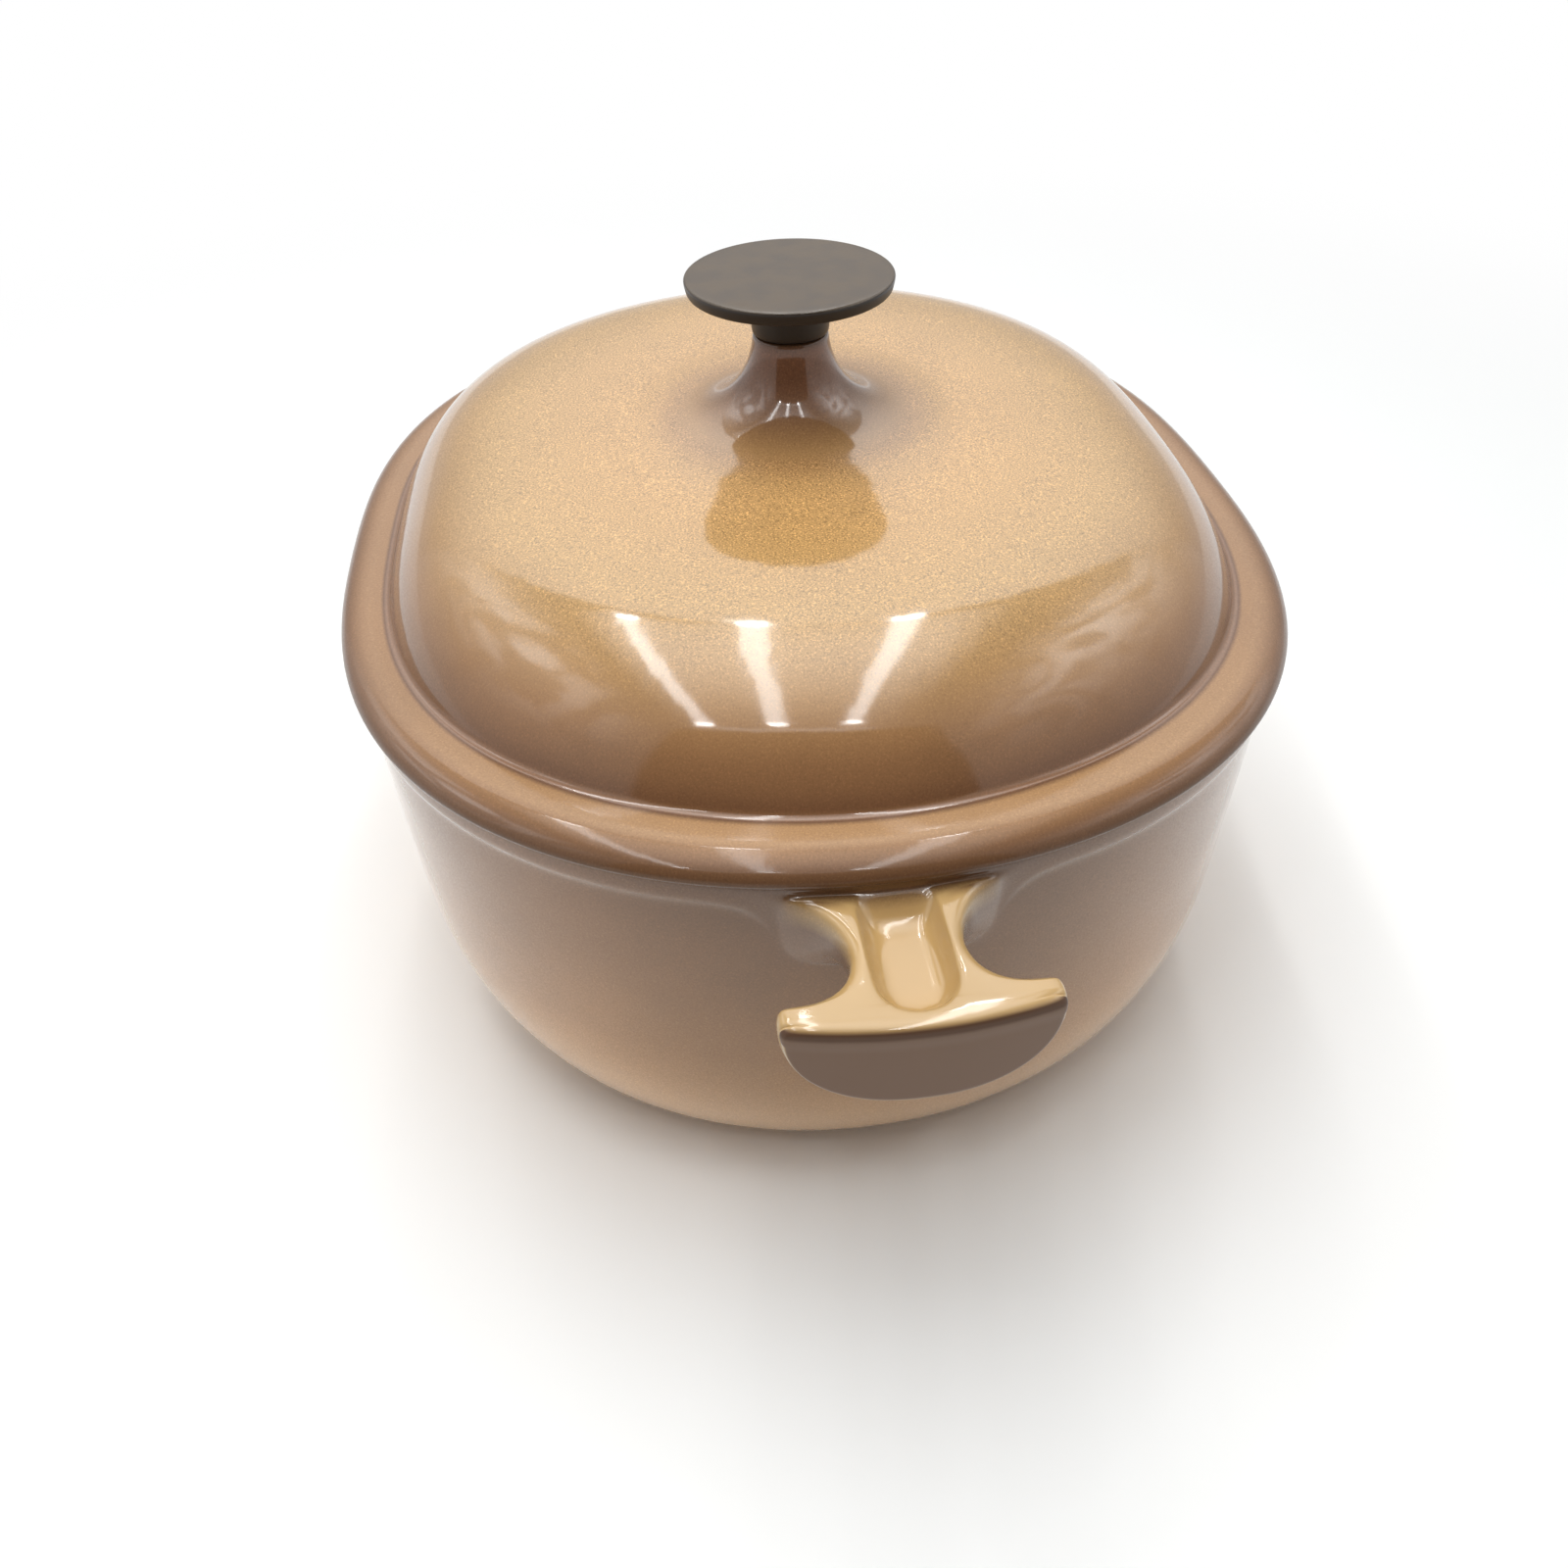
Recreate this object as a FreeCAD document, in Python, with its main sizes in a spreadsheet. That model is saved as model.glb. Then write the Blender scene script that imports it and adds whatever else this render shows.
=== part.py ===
"""Oval cocotte: an enamelled iron pot with T-shaped end handles, and its lift-off lid with a knob.

Frame: +X along the long axis, through the handles, +Z up. The origin is in the middle of the pot's base,
on the surface that the pot stands on. All sizes are in millimetres.
"""
import FreeCAD, Part
import math
import os
import Sketcher

Vector = FreeCAD.Vector
UP = Vector(0, 0, 1)
DIAGONAL = math.sqrt(0.5)
PARTS_FOLDER = "parts"

# Driving dimensions: name, value, what it measures
DIMENSIONS = [
    ("rim_half_length", 138.0, "middle to the lid's bead, along the handles"),
    ("rim_half_width", 115.0, "middle to the lid's bead, across"),
    ("rim_end_radius", 140.0, "plan radius of the rim at the handles"),
    ("rim_side_radius", 312.0, "plan radius of the rim's long sides"),
    ("rim_end_sweep", 11.3, "half the turn of the end arc in degrees; a tangent corner arc follows"),
    ("rim_height", 112.0, "table to the seam between pot and lid"),
    ("collar_inset", 1.4, "pot's collar, in from the lid's bead"),
    ("collar_depth", 5.5, "height of the pot's collar"),
    ("collar_step", 1.1, "collar stands this proud of the wall"),
    ("rim_edge_round", 0.8, "rounding of the pot's rim"),
    ("wall_taper", 1.9, "wall leans in by this, rim to bottom round"),
    ("wall", 4.0, "thickness of the pot's wall"),
    ("floor_thickness", 5.0, "thickness of the pot's base"),
    ("bottom_round_height", 56.4, "height of the elliptical bottom round"),
    ("bottom_round_width", 31.2, "width of the elliptical bottom round"),
    ("handle_drop", 2.5, "handle's top below the seam"),
    ("handle_reach", 31.5, "handle's face beyond the lid's bead"),
    ("handle_half_width", 25.5, "half the width of the handle's face"),
    ("handle_depth", 20.3, "height of the handle's face"),
    ("handle_fullness", 2.4, "superellipse power of the face's lower edge"),
    ("handle_face_radius", 104.0, "plan radius of the handle's face"),
    ("bar_thickness", 9.5, "handle's cross bar at its middle"),
    ("neck_half_width", 10.6, "half the width of the handle's neck"),
    ("neck_thickness", 12.5, "thickness of the neck at its arch"),
    ("root_fillet", 17.0, "plan fillet of the neck towards the pot"),
    ("root_sweep", 55.0, "turn of that fillet in degrees, before it runs straight into the wall"),
    ("bar_fillet", 9.0, "plan fillet of the neck into the cross bar"),
    ("arch_radius", 12.5, "arch under the neck"),
    ("handle_edge_round", 2.2, "rounding of the handle's top edge"),
    ("scoop_half_width", 7.5, "half the width of the hollow in the handle"),
    ("scoop_depth", 4.5, "depth of the hollow in the handle"),
    ("scoop_front_wall", 4.5, "hollow's round end to the handle's face"),
    ("scoop_root_wall", 1.6, "hollow's inner end out from the collar"),
    ("scoop_round", 3.0, "rounding at the bottom of the hollow"),
    ("bead_round", 5.0, "radius of the lid's rolled edge"),
    ("bead_lip_round", 1.2, "rounding under the lid's rolled edge"),
    ("gutter_end", 11.5, "lid's flange, in from the bead"),
    ("gutter_fall", 1.3, "flange falls by this towards the dome"),
    ("dome_inset_end", 15.0, "dome's foot in from the bead, at the ends"),
    ("dome_inset_side", 11.8, "dome's foot in from the bead, at the sides"),
    ("dome_rise", 26.3, "dome's foot to its flat top"),
    ("dome_fullness", 8.5, "how square the dome's shoulder is"),
    ("dome_shoulder", 1.12, "how round the dome's shoulder is"),
    ("dome_foot_power_end", 2.72, "superellipse power of the dome's foot, at the ends"),
    ("dome_foot_power_side", 1.94, "superellipse power of the dome's foot, at the sides"),
    ("dome_top_power_end", 2.0, "superellipse power of the dome's middle, at the ends"),
    ("dome_top_power_side", 2.1, "superellipse power of the dome's middle, at the sides"),
    ("dome_fillet", 3.0, "fillet between flange and dome"),
    ("dome_fillet_tuck", 1.35, "fillet's upper edge inside the dome's foot"),
    ("lid_wall", 4.0, "thickness of the lid"),
    ("dome_flat_share", 0.35, "flat top's half-length over the dome's"),
    ("lip_depth", 3.0, "locating lip under the lid"),
    ("lip_width", 4.0, "thickness of the locating lip"),
    ("lip_clearance", 1.0, "lip to the pot's mouth"),
    ("boss_height", 20.7, "dome's top to the knob's seat"),
    ("boss_top_radius", 9.2, "radius of the knob's seat"),
    ("boss_web", 6.0, "metal under the knob's seat"),
    ("boss_hollow_radius", 7.0, "hollow under the knob's seat"),
    ("screw_radius", 3.0, "shank of the knob's screw"),
    ("screw_reach", 8.0, "screw goes this far into the knob"),
    ("screw_head_radius", 5.2, "head of the knob's screw"),
    ("screw_head_height", 3.4, "head of the knob's screw"),
    ("screw_head_round", 1.2, "rounding of the screw's head"),
    ("screw_slot_width", 1.6, "driving slot of the screw"),
    ("screw_slot_depth", 1.5, "driving slot of the screw"),
    ("screw_clearance", 0.3, "screw to its hole, all round"),
    ("thread_clearance", 0.05, "screw to the insert's bore, all round"),
    ("washer_radius", 6.3, "outside of the washer"),
    ("washer_thickness", 1.2, "thickness of the washer"),
    ("insert_radius", 4.6, "outside of the knob's insert"),
    ("insert_roof", 0.8, "metal over the insert's bore"),
    ("insert_run_out", 0.5, "bore past the screw's end"),
    ("insert_recess", 0.3, "insert below the knob's end face"),
    ("knob_radius", 24.9, "radius of the knob's disc"),
    ("knob_thickness", 3.4, "edge height of the knob's disc"),
    ("knob_height", 13.6, "knob's seat to its flat top"),
    ("knob_stem_foot", 9.3, "stem's radius at its seat"),
    ("knob_stem_top", 9.8, "stem's radius at the disc"),
    ("knob_edge_draft", 0.5, "disc's lower edge is smaller by this"),
    ("knob_edge_round", 0.8, "rounding of the disc's top edge"),
    ("knob_neck_round", 2.0, "fillet between stem and disc"),
]

doc = FreeCAD.newDocument("oval_cocotte")
sheet = doc.addObject("Spreadsheet::Sheet", "Sizes")
for row, (alias, value, meaning) in enumerate(DIMENSIONS, start=1):
    sheet.set(f"A{row}", alias)
    sheet.set(f"B{row}", str(value))
    sheet.set(f"C{row}", meaning)
    sheet.setAlias(f"B{row}", alias)
doc.recompute()


def size(alias):
    """One driving dimension, read from the sheet."""
    return float(getattr(sheet, alias))


# Levels and offsets that several pieces share
rim_level = size("rim_height")
collar_inset = size("collar_inset")
wall_inset = collar_inset + size("collar_step")
mouth_inset = wall_inset + size("wall")
flange_level = rim_level + size("bead_round") - size("gutter_fall")
dome_top = flange_level + size("dome_rise")
knob_seat = dome_top + size("boss_height")


def rim_arcs():
    """The rim's oval as eight tangent arcs: centre, radius, start and end angle, counter-clockwise."""
    end_radius = size("rim_end_radius")
    side_radius = size("rim_side_radius")
    end_angle = math.radians(size("rim_end_sweep"))
    end_x = size("rim_half_length") - end_radius
    side_y = size("rim_half_width") - side_radius
    # The corner arc leaves the end arc at its last point and is tangent inside the side arc
    outward = Vector(math.cos(end_angle), math.sin(end_angle), 0)
    apart = Vector(end_x, -side_y, 0)
    radius_gap = side_radius - end_radius
    step = (apart.dot(apart) - radius_gap ** 2) / (2 * (radius_gap - outward.dot(apart)))
    corner_radius = end_radius - step
    corner = Vector(end_x, 0, 0) + outward * step
    side_angle = math.atan2(corner.y - side_y, corner.x)
    turn = math.pi
    return [
        (Vector(end_x, 0, 0), end_radius, -end_angle, end_angle),
        (corner, corner_radius, end_angle, side_angle),
        (Vector(0, side_y, 0), side_radius, side_angle, turn - side_angle),
        (Vector(-corner.x, corner.y, 0), corner_radius, turn - side_angle, turn - end_angle),
        (Vector(-end_x, 0, 0), end_radius, turn - end_angle, turn + end_angle),
        (Vector(-corner.x, -corner.y, 0), corner_radius, turn + end_angle, turn + side_angle),
        (Vector(0, -side_y, 0), side_radius, turn + side_angle, 2 * turn - side_angle),
        (Vector(corner.x, -corner.y, 0), corner_radius, 2 * turn - side_angle, 2 * turn - end_angle),
    ]


RIM_ARCS = rim_arcs()


def rim_cap(inset, level):
    """A flat face inside the rim's oval, moved in by inset."""
    edges = []
    for centre, radius, start, end in RIM_ARCS:
        place = Vector(centre.x, centre.y, level)
        edges.append(Part.makeCircle(radius - inset, place, UP, math.degrees(start), math.degrees(end)))
    return Part.Face(Part.Wire(edges))


def around_rim(profile, caps=()):
    """The solid whose side follows the rim's oval: profile is a wire of points (-inset, 0, level)."""
    faces = list(caps)
    for centre, radius, start, end in RIM_ARCS:
        side = profile.copy()
        side.translate(Vector(radius, 0, 0))
        side.rotate(Vector(0, 0, 0), UP, math.degrees(start))
        side.translate(centre)
        faces += side.revolve(centre, UP, math.degrees(end - start)).Faces
    shell = Part.makeShell(faces)
    shell.sewShape()
    solid = Part.makeSolid(shell)
    if solid.Volume < 0:
        solid.reverse()
    return solid


def at(inset, level):
    """A point of a profile that is carried round the rim."""
    return Vector(-inset, 0, level)


def line(start, end):
    return Part.LineSegment(start, end).toShape()


def arc(start, middle, end):
    return Part.Arc(start, middle, end).toShape()


def round_corner(centre_inset, centre_level, radius, start, end):
    """An arc of a profile about its centre, between two angles in degrees (0 outwards, 90 up)."""
    points = []
    for angle in (start, (start + end) / 2, end):
        turn = math.radians(angle)
        points.append(at(centre_inset - radius * math.cos(turn), centre_level + radius * math.sin(turn)))
    return arc(*points)


def bottom_round(width, height, side_inset, level):
    """A quarter ellipse from the flat of the base out and up to the wall, higher than wide."""
    centre = at(side_inset + width, level)
    curve = Part.Ellipse(centre + Vector(0, 0, -height), centre + Vector(-width, 0, 0), centre)
    base = curve.parameter(centre + Vector(0, 0, -height))
    side = curve.parameter(centre + Vector(width, 0, 0))
    return curve.toShape(side, base if base > side else base + 2 * math.pi)


def solid_feature(name, shape):
    """A solid of the document, made from the sheet's sizes."""
    feature = doc.addObject("Part::Feature", name)
    feature.Shape = shape
    feature.Placement = FreeCAD.Placement()
    return feature


# Pot: the outside, from the base up the wall to the collar and the rim
def pot_outside():
    edge = size("rim_edge_round")
    step = size("collar_step")
    taper = size("wall_taper")
    width = size("bottom_round_width")
    height = size("bottom_round_height")
    collar_foot = rim_level - size("collar_depth")
    round_inset = wall_inset + taper
    profile = Part.Wire([
        bottom_round(width, height, round_inset, height),
        line(at(round_inset, height), at(wall_inset, collar_foot - step)),
        round_corner(wall_inset - step, collar_foot - step, step, 180, 90),
        line(at(collar_inset, collar_foot), at(collar_inset, rim_level - edge)),
        round_corner(collar_inset + edge, rim_level - edge, edge, 0, 90),
    ])
    base = rim_cap(round_inset + width, 0)
    top = rim_cap(collar_inset + edge, rim_level)
    return around_rim(profile, [base, top])


# Pot: the space inside, one wall in from the outside, with a rounded mouth
def pot_inside():
    edge = size("rim_edge_round")
    wall = size("wall")
    width = size("bottom_round_width") - wall
    height = size("bottom_round_height")
    floor_level = size("floor_thickness")
    round_inset = mouth_inset + size("wall_taper")
    above = rim_level + edge
    profile = Part.Wire([
        bottom_round(width, height - floor_level, round_inset, height),
        line(at(round_inset, height), at(mouth_inset, rim_level - edge)),
        round_corner(mouth_inset - edge, rim_level - edge, edge, 180, 90),
        line(at(mouth_inset - edge, rim_level), at(mouth_inset - edge, above)),
    ])
    base = rim_cap(round_inset + width, floor_level)
    top = rim_cap(mouth_inset - edge, above)
    return around_rim(profile, [base, top])


# Handle: a T-shaped lug with an arched neck, a D-shaped face and a hollow for the thumb
def handle_plan():
    """The lug's outline seen from above, wider than the face, which trims it."""
    face_radius = size("handle_face_radius")
    neck = size("neck_half_width")
    root = size("root_fillet")
    sweep = math.radians(size("root_sweep"))
    bar = size("bar_fillet")
    past = size("handle_half_width") + size("wall")
    front = size("rim_half_length") + size("handle_reach")
    back = front - size("bar_thickness")
    waist = back - bar
    flare_x = waist - root * math.sin(sweep)
    flare_y = neck + root - root * math.cos(sweep)
    inner_x = size("rim_half_length") - 2 * mouth_inset
    inner_y = flare_y + (flare_x - inner_x) * math.tan(sweep)
    drop = face_radius - math.sqrt(face_radius ** 2 - past ** 2)

    def side(sign):
        """Half the outline, from inside the pot's wall to the tip of the bar."""
        inner = Vector(inner_x, sign * inner_y, 0)
        flare = Vector(flare_x, sign * flare_y, 0)
        half_flare = Vector(
            waist - root * math.sin(sweep / 2), sign * (neck + root - root * math.cos(sweep / 2)), 0
        )
        narrow = Vector(waist, sign * neck, 0)
        half_bar = Vector(waist + bar * DIAGONAL, sign * (neck + bar - bar * DIAGONAL), 0)
        bar_foot = Vector(back, sign * (neck + bar), 0)
        bar_back = Vector(back, sign * past, 0)
        bar_front = Vector(front - drop, sign * past, 0)
        return [
            line(inner, flare),
            arc(flare, half_flare, narrow),
            arc(narrow, half_bar, bar_foot),
            line(bar_foot, bar_back),
            line(bar_back, bar_front),
        ]

    edges = side(1) + side(-1)
    edges.append(arc(Vector(front - drop, past, 0), Vector(front, 0, 0), Vector(front - drop, -past, 0)))
    edges.append(line(Vector(inner_x, inner_y, 0), Vector(inner_x, -inner_y, 0)))
    return Part.Face(Part.Wire(Part.__sortEdges__(edges)))


FACE_POINTS = 24


def handle_face():
    """The D of the handle's face: a flat top and a superellipse below, in the plane X = 0."""
    half = size("handle_half_width")
    depth = size("handle_depth")
    power = 2 / size("handle_fullness")
    top = rim_level - size("handle_drop")
    points = []
    for step in range(FACE_POINTS + 1):
        turn = math.pi * step / FACE_POINTS
        across = math.copysign(abs(math.cos(turn)) ** power, math.cos(turn))
        points.append(Vector(0, half * across, top - depth * math.sin(turn) ** power))
    curve = Part.BSplineCurve()
    curve.interpolate(points)
    return Part.Face(Part.Wire([curve.toShape(), line(points[-1], points[0])]))


def handle_scoop():
    """The hollow in the top of the handle, round at its outer end and along its bottom."""
    half = size("scoop_half_width")
    depth = size("scoop_depth")
    top = rim_level - size("handle_drop")
    start = size("rim_half_length") - collar_inset + size("scoop_root_wall")
    end = size("rim_half_length") + size("handle_reach") - size("scoop_front_wall")
    low = top - depth
    edges = [
        line(Vector(start, half, low), Vector(start, -half, low)),
        line(Vector(start, -half, low), Vector(end - half, -half, low)),
        arc(Vector(end - half, -half, low), Vector(end, 0, low), Vector(end - half, half, low)),
        line(Vector(end - half, half, low), Vector(start, half, low)),
    ]
    hollow = Part.Face(Part.Wire(edges)).extrude(UP * (2 * depth))
    lower = [edge for edge in hollow.Edges if edge.BoundBox.ZMax < low + depth / 2]
    return hollow.makeFillet(size("scoop_round"), lower)


def handle():
    top = rim_level - size("handle_drop")
    depth = size("handle_depth")
    reach = size("rim_half_length") + size("handle_reach")
    plan = handle_plan()
    plan.translate(Vector(0, 0, top - depth))
    blank = plan.extrude(UP * depth)
    trim = handle_face().extrude(Vector(2 * reach, 0, 0))
    lug = blank.common(trim)
    top_edges = [edge for edge in lug.Edges if edge.BoundBox.ZMin > top - size("handle_edge_round") / 2]
    outline = [edge for edge in top_edges if edge.BoundBox.XMax > size("rim_half_length") - collar_inset]
    lug = lug.makeFillet(size("handle_edge_round"), outline)
    radius = size("arch_radius")
    back = reach - size("bar_thickness")
    arch_x = back - radius
    arch_level = top - size("neck_thickness") - radius
    across = 2 * size("handle_half_width")
    arch = Part.makeCylinder(radius, 2 * across, Vector(arch_x, -across, arch_level), Vector(0, 1, 0))
    return lug.cut(arch).cut(handle_scoop())


outside = solid_feature("pot_outside", pot_outside())
inside = solid_feature("pot_inside", pot_inside())
front_handle = solid_feature("front_handle", handle())
back_handle = doc.addObject("Part::Mirroring", "back_handle")
back_handle.Source = front_handle
back_handle.Normal = Vector(1, 0, 0)
casting = doc.addObject("Part::MultiFuse", "pot_casting")
casting.Shapes = [outside, front_handle, back_handle]
pot = doc.addObject("Part::Cut", "pot")
pot.Base = casting
pot.Tool = inside


# Lid: the flange with its rolled edge, as an oval plate
def lid_flange():
    lip = size("bead_lip_round")
    roll = size("bead_round")
    to_lip = math.sqrt((roll - lip) ** 2 - lip ** 2)
    tangent = math.degrees(math.atan2(lip, to_lip))
    profile = Part.Wire([
        round_corner(lip, rim_level + lip, lip, -90, tangent),
        round_corner(lip + to_lip, rim_level, roll, tangent, 90),
        line(at(lip + to_lip, rim_level + roll), at(size("gutter_end"), flange_level)),
    ])
    base = rim_cap(lip, rim_level)
    top = rim_cap(size("gutter_end"), flange_level)
    return around_rim(profile, [base, top])


OVAL_POINTS = 40
DOME_RINGS = 10
DOME_RING_SPACING = 1.6
FILLET_RINGS = 5


def oval_ring(half_length, half_width, power_long, power_short, level):
    """A closed superellipse: the dome's section at one level."""
    points = []
    for step in range(OVAL_POINTS):
        turn = 2 * math.pi * step / OVAL_POINTS
        along = math.copysign(abs(math.cos(turn)) ** (2 / power_long), math.cos(turn))
        across = math.copysign(abs(math.sin(turn)) ** (2 / power_short), math.sin(turn))
        points.append(Vector(half_length * along, half_width * across, level))
    curve = Part.BSplineCurve()
    curve.interpolate(points, PeriodicFlag=True)
    return Part.Wire([curve.toShape()])


def dome_ring(share, grow, level):
    """The dome's ring: share is 1 at the foot and falls to 0 in the middle, grow widens the foot."""
    half_length = size("rim_half_length") - size("dome_inset_end") + grow
    half_width = size("rim_half_width") - size("dome_inset_side") + grow
    top_long = size("dome_top_power_end")
    top_short = size("dome_top_power_side")
    power_long = top_long + (size("dome_foot_power_end") - top_long) * share
    power_short = top_short + (size("dome_foot_power_side") - top_short) * share
    return oval_ring(half_length * share, half_width * share, power_long, power_short, level)


def dome(grow, foot):
    """The solid under one skin of the dome, from its foot to its flat top."""
    rings = []
    for step in range(DOME_RINGS + 1):
        share = 1 - (1 - size("dome_flat_share")) * (step / DOME_RINGS) ** DOME_RING_SPACING
        rise = size("dome_rise") * (1 - share ** size("dome_fullness")) ** (1 / size("dome_shoulder"))
        rings.append(dome_ring(share, grow, foot + rise))
    return Part.makeLoft(rings, True, False)


def dome_fillet():
    """The hollow round between the flange and the dome."""
    radius = size("dome_fillet")
    rings = []
    for step in range(FILLET_RINGS + 1):
        turn = math.pi / 2 * step / FILLET_RINGS
        grow = radius * (1 - math.sin(turn)) - size("dome_fillet_tuck")
        rings.append(dome_ring(1, grow, flange_level + radius * (1 - math.cos(turn))))
    return Part.makeLoft(rings, True, True)


def boss():
    """The flared boss under the knob: a hollow quarter round from the dome to the knob's seat."""
    radius = size("boss_height")
    top = size("boss_top_radius")
    foot = dome_top - size("lid_wall") / 2
    centre = Vector(top + radius, 0, knob_seat)
    edges = [
        line(Vector(0, 0, knob_seat), Vector(top, 0, knob_seat)),
        arc(
            Vector(top, 0, knob_seat),
            centre + Vector(-radius * DIAGONAL, 0, -radius * DIAGONAL),
            Vector(top + radius, 0, dome_top),
        ),
        line(Vector(top + radius, 0, dome_top), Vector(top + radius, 0, foot)),
        line(Vector(top + radius, 0, foot), Vector(0, 0, foot)),
        line(Vector(0, 0, foot), Vector(0, 0, knob_seat)),
    ]
    return Part.Face(Part.Wire(edges)).revolve(Vector(0, 0, 0), UP, 360)


def locating_lip():
    """The rim that stands down inside the pot's mouth, still filled."""
    plate = rim_cap(mouth_inset + size("lip_clearance"), rim_level - size("lip_depth"))
    return plate.extrude(UP * (size("lip_depth") + size("bead_lip_round")))


def lip_space():
    """The space inside the locating lip."""
    inset = mouth_inset + size("lip_clearance") + size("lip_width")
    depth = size("lip_depth")
    return rim_cap(inset, rim_level - 2 * depth).extrude(UP * 2 * depth)


DOME_TOP = "Sizes.rim_height + Sizes.bead_round - Sizes.gutter_fall + Sizes.dome_rise"
SEAT = f"{DOME_TOP} + Sizes.boss_height"
lid_casting = doc.addObject("Part::MultiFuse", "lid_casting")
lid_casting.Shapes = [
    solid_feature("lid_flange", lid_flange()),
    solid_feature("locating_lip", locating_lip()),
    solid_feature("dome_fillet", dome_fillet()),
    solid_feature("dome_outside", dome(0, flange_level)),
    solid_feature("boss", boss()),
]
boss_hollow = doc.addObject("Part::Cylinder", "boss_hollow")
boss_hollow.setExpression("Radius", "Sizes.boss_hollow_radius")
boss_hollow.setExpression("Height", "Sizes.boss_height + Sizes.lid_wall")
boss_hollow.setExpression("Placement.Base.z", f"{DOME_TOP} - Sizes.lid_wall - Sizes.boss_web")
screw_hole = doc.addObject("Part::Cylinder", "screw_hole")
screw_hole.setExpression("Radius", "Sizes.screw_radius + Sizes.screw_clearance")
screw_hole.setExpression("Height", "3 * Sizes.boss_web")
screw_hole.setExpression("Placement.Base.z", f"{SEAT} - 2 * Sizes.boss_web")
lid_space = doc.addObject("Part::MultiFuse", "lid_space")
lid_space.Shapes = [
    solid_feature("lip_space", lip_space()),
    solid_feature("dome_inside", dome(-size("lid_wall"), flange_level - size("lid_wall"))),
    boss_hollow,
    screw_hole,
]
lid = doc.addObject("Part::Cut", "lid")
lid.Base = lid_casting
lid.Tool = lid_space


def turned_body(label, outline, seat):
    """A turned piece: outline is a ring of (radius, level) formulas, spun about its own Z at seat."""
    body = doc.addObject("PartDesign::Body", label)
    sketch = body.newObject("Sketcher::SketchObject", label + "_outline")
    plane = next(item for item in body.Origin.OriginFeatures if item.Role == "XZ_Plane")
    sketch.AttachmentSupport = [(plane, "")]
    sketch.MapMode = "FlatFace"
    corners = []
    for radius, level in outline:
        corners.append(Vector(body.evalExpression(radius), body.evalExpression(level), 0))
    for index, corner in enumerate(corners):
        following = corners[(index + 1) % len(corners)]
        sketch.addGeometry(Part.LineSegment(corner, following))
    for index, (radius, level) in enumerate(outline):
        corner = corners[index]
        previous = (index - 1) % len(outline)
        sketch.addConstraint(Sketcher.Constraint("Coincident", previous, 2, index, 1))
        if radius == "0":
            sketch.addConstraint(Sketcher.Constraint("PointOnObject", index, 1, -2))
        else:
            number = sketch.addConstraint(Sketcher.Constraint("DistanceX", -1, 1, index, 1, corner.x))
            sketch.setExpression(f"Constraints[{number}]", radius)
        if level == "0":
            sketch.addConstraint(Sketcher.Constraint("PointOnObject", index, 1, -1))
        else:
            number = sketch.addConstraint(Sketcher.Constraint("DistanceY", -1, 1, index, 1, corner.y))
            sketch.setExpression(f"Constraints[{number}]", level)
    spin = body.newObject("PartDesign::Revolution", label + "_spin")
    spin.Profile = sketch
    spin.ReferenceAxis = (sketch, ["V_Axis"])
    spin.Angle = 360
    body.setExpression("Placement.Base.z", seat)
    doc.recompute()
    return body


def round_edge(body, radius, level, rounding):
    """Round the circular edge at a radius and level, all three given as formulas."""
    target_radius = body.evalExpression(radius)
    target_level = body.evalExpression(level)
    base = body.Tip
    names = []
    for index, edge in enumerate(base.Shape.Edges, start=1):
        curve = edge.Curve
        if isinstance(curve, Part.Circle):
            same_radius = abs(curve.Radius - target_radius) < 1e-4
            if same_radius and abs(curve.Center.z - target_level) < 1e-4:
                names.append(f"Edge{index}")
    fillet = body.newObject("PartDesign::Fillet", f"{body.Label}_round")
    fillet.Base = (base, names)
    fillet.setExpression("Radius", rounding)
    doc.recompute()


# Knob: a flat disc on a short stem, moulded round its insert
INSERT_LENGTH = "(Sizes.screw_reach - Sizes.insert_recess + Sizes.insert_run_out + Sizes.insert_roof)"
INSERT_BORE = "(Sizes.screw_radius + Sizes.thread_clearance)"
DISC_LEVEL = "(Sizes.knob_height - Sizes.knob_thickness)"
knob = turned_body("knob", [
    ("Sizes.insert_radius", "0"),
    ("Sizes.knob_stem_foot", "0"),
    ("Sizes.knob_stem_top", DISC_LEVEL),
    ("Sizes.knob_radius - Sizes.knob_edge_draft", DISC_LEVEL),
    ("Sizes.knob_radius", "Sizes.knob_height"),
    ("0", "Sizes.knob_height"),
    ("0", f"Sizes.insert_recess + {INSERT_LENGTH}"),
    ("Sizes.insert_radius", f"Sizes.insert_recess + {INSERT_LENGTH}"),
], SEAT)
round_edge(knob, "Sizes.knob_radius", "Sizes.knob_height", "Sizes.knob_edge_round")
round_edge(knob, "Sizes.knob_stem_top", DISC_LEVEL, "Sizes.knob_neck_round")

# Threaded insert in the knob's stem
knob_insert = turned_body("knob_insert", [
    (INSERT_BORE, "0"),
    ("Sizes.insert_radius", "0"),
    ("Sizes.insert_radius", INSERT_LENGTH),
    ("0", INSERT_LENGTH),
    ("0", f"{INSERT_LENGTH} - Sizes.insert_roof"),
    (INSERT_BORE, f"{INSERT_LENGTH} - Sizes.insert_roof"),
], f"{SEAT} + Sizes.insert_recess")

# Washer under the screw's head
screw_washer = turned_body("screw_washer", [
    ("Sizes.screw_radius + Sizes.screw_clearance", "0"),
    ("Sizes.washer_radius", "0"),
    ("Sizes.washer_radius", "Sizes.washer_thickness"),
    ("Sizes.screw_radius + Sizes.screw_clearance", "Sizes.washer_thickness"),
], f"{SEAT} - Sizes.boss_web - Sizes.washer_thickness")

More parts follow.
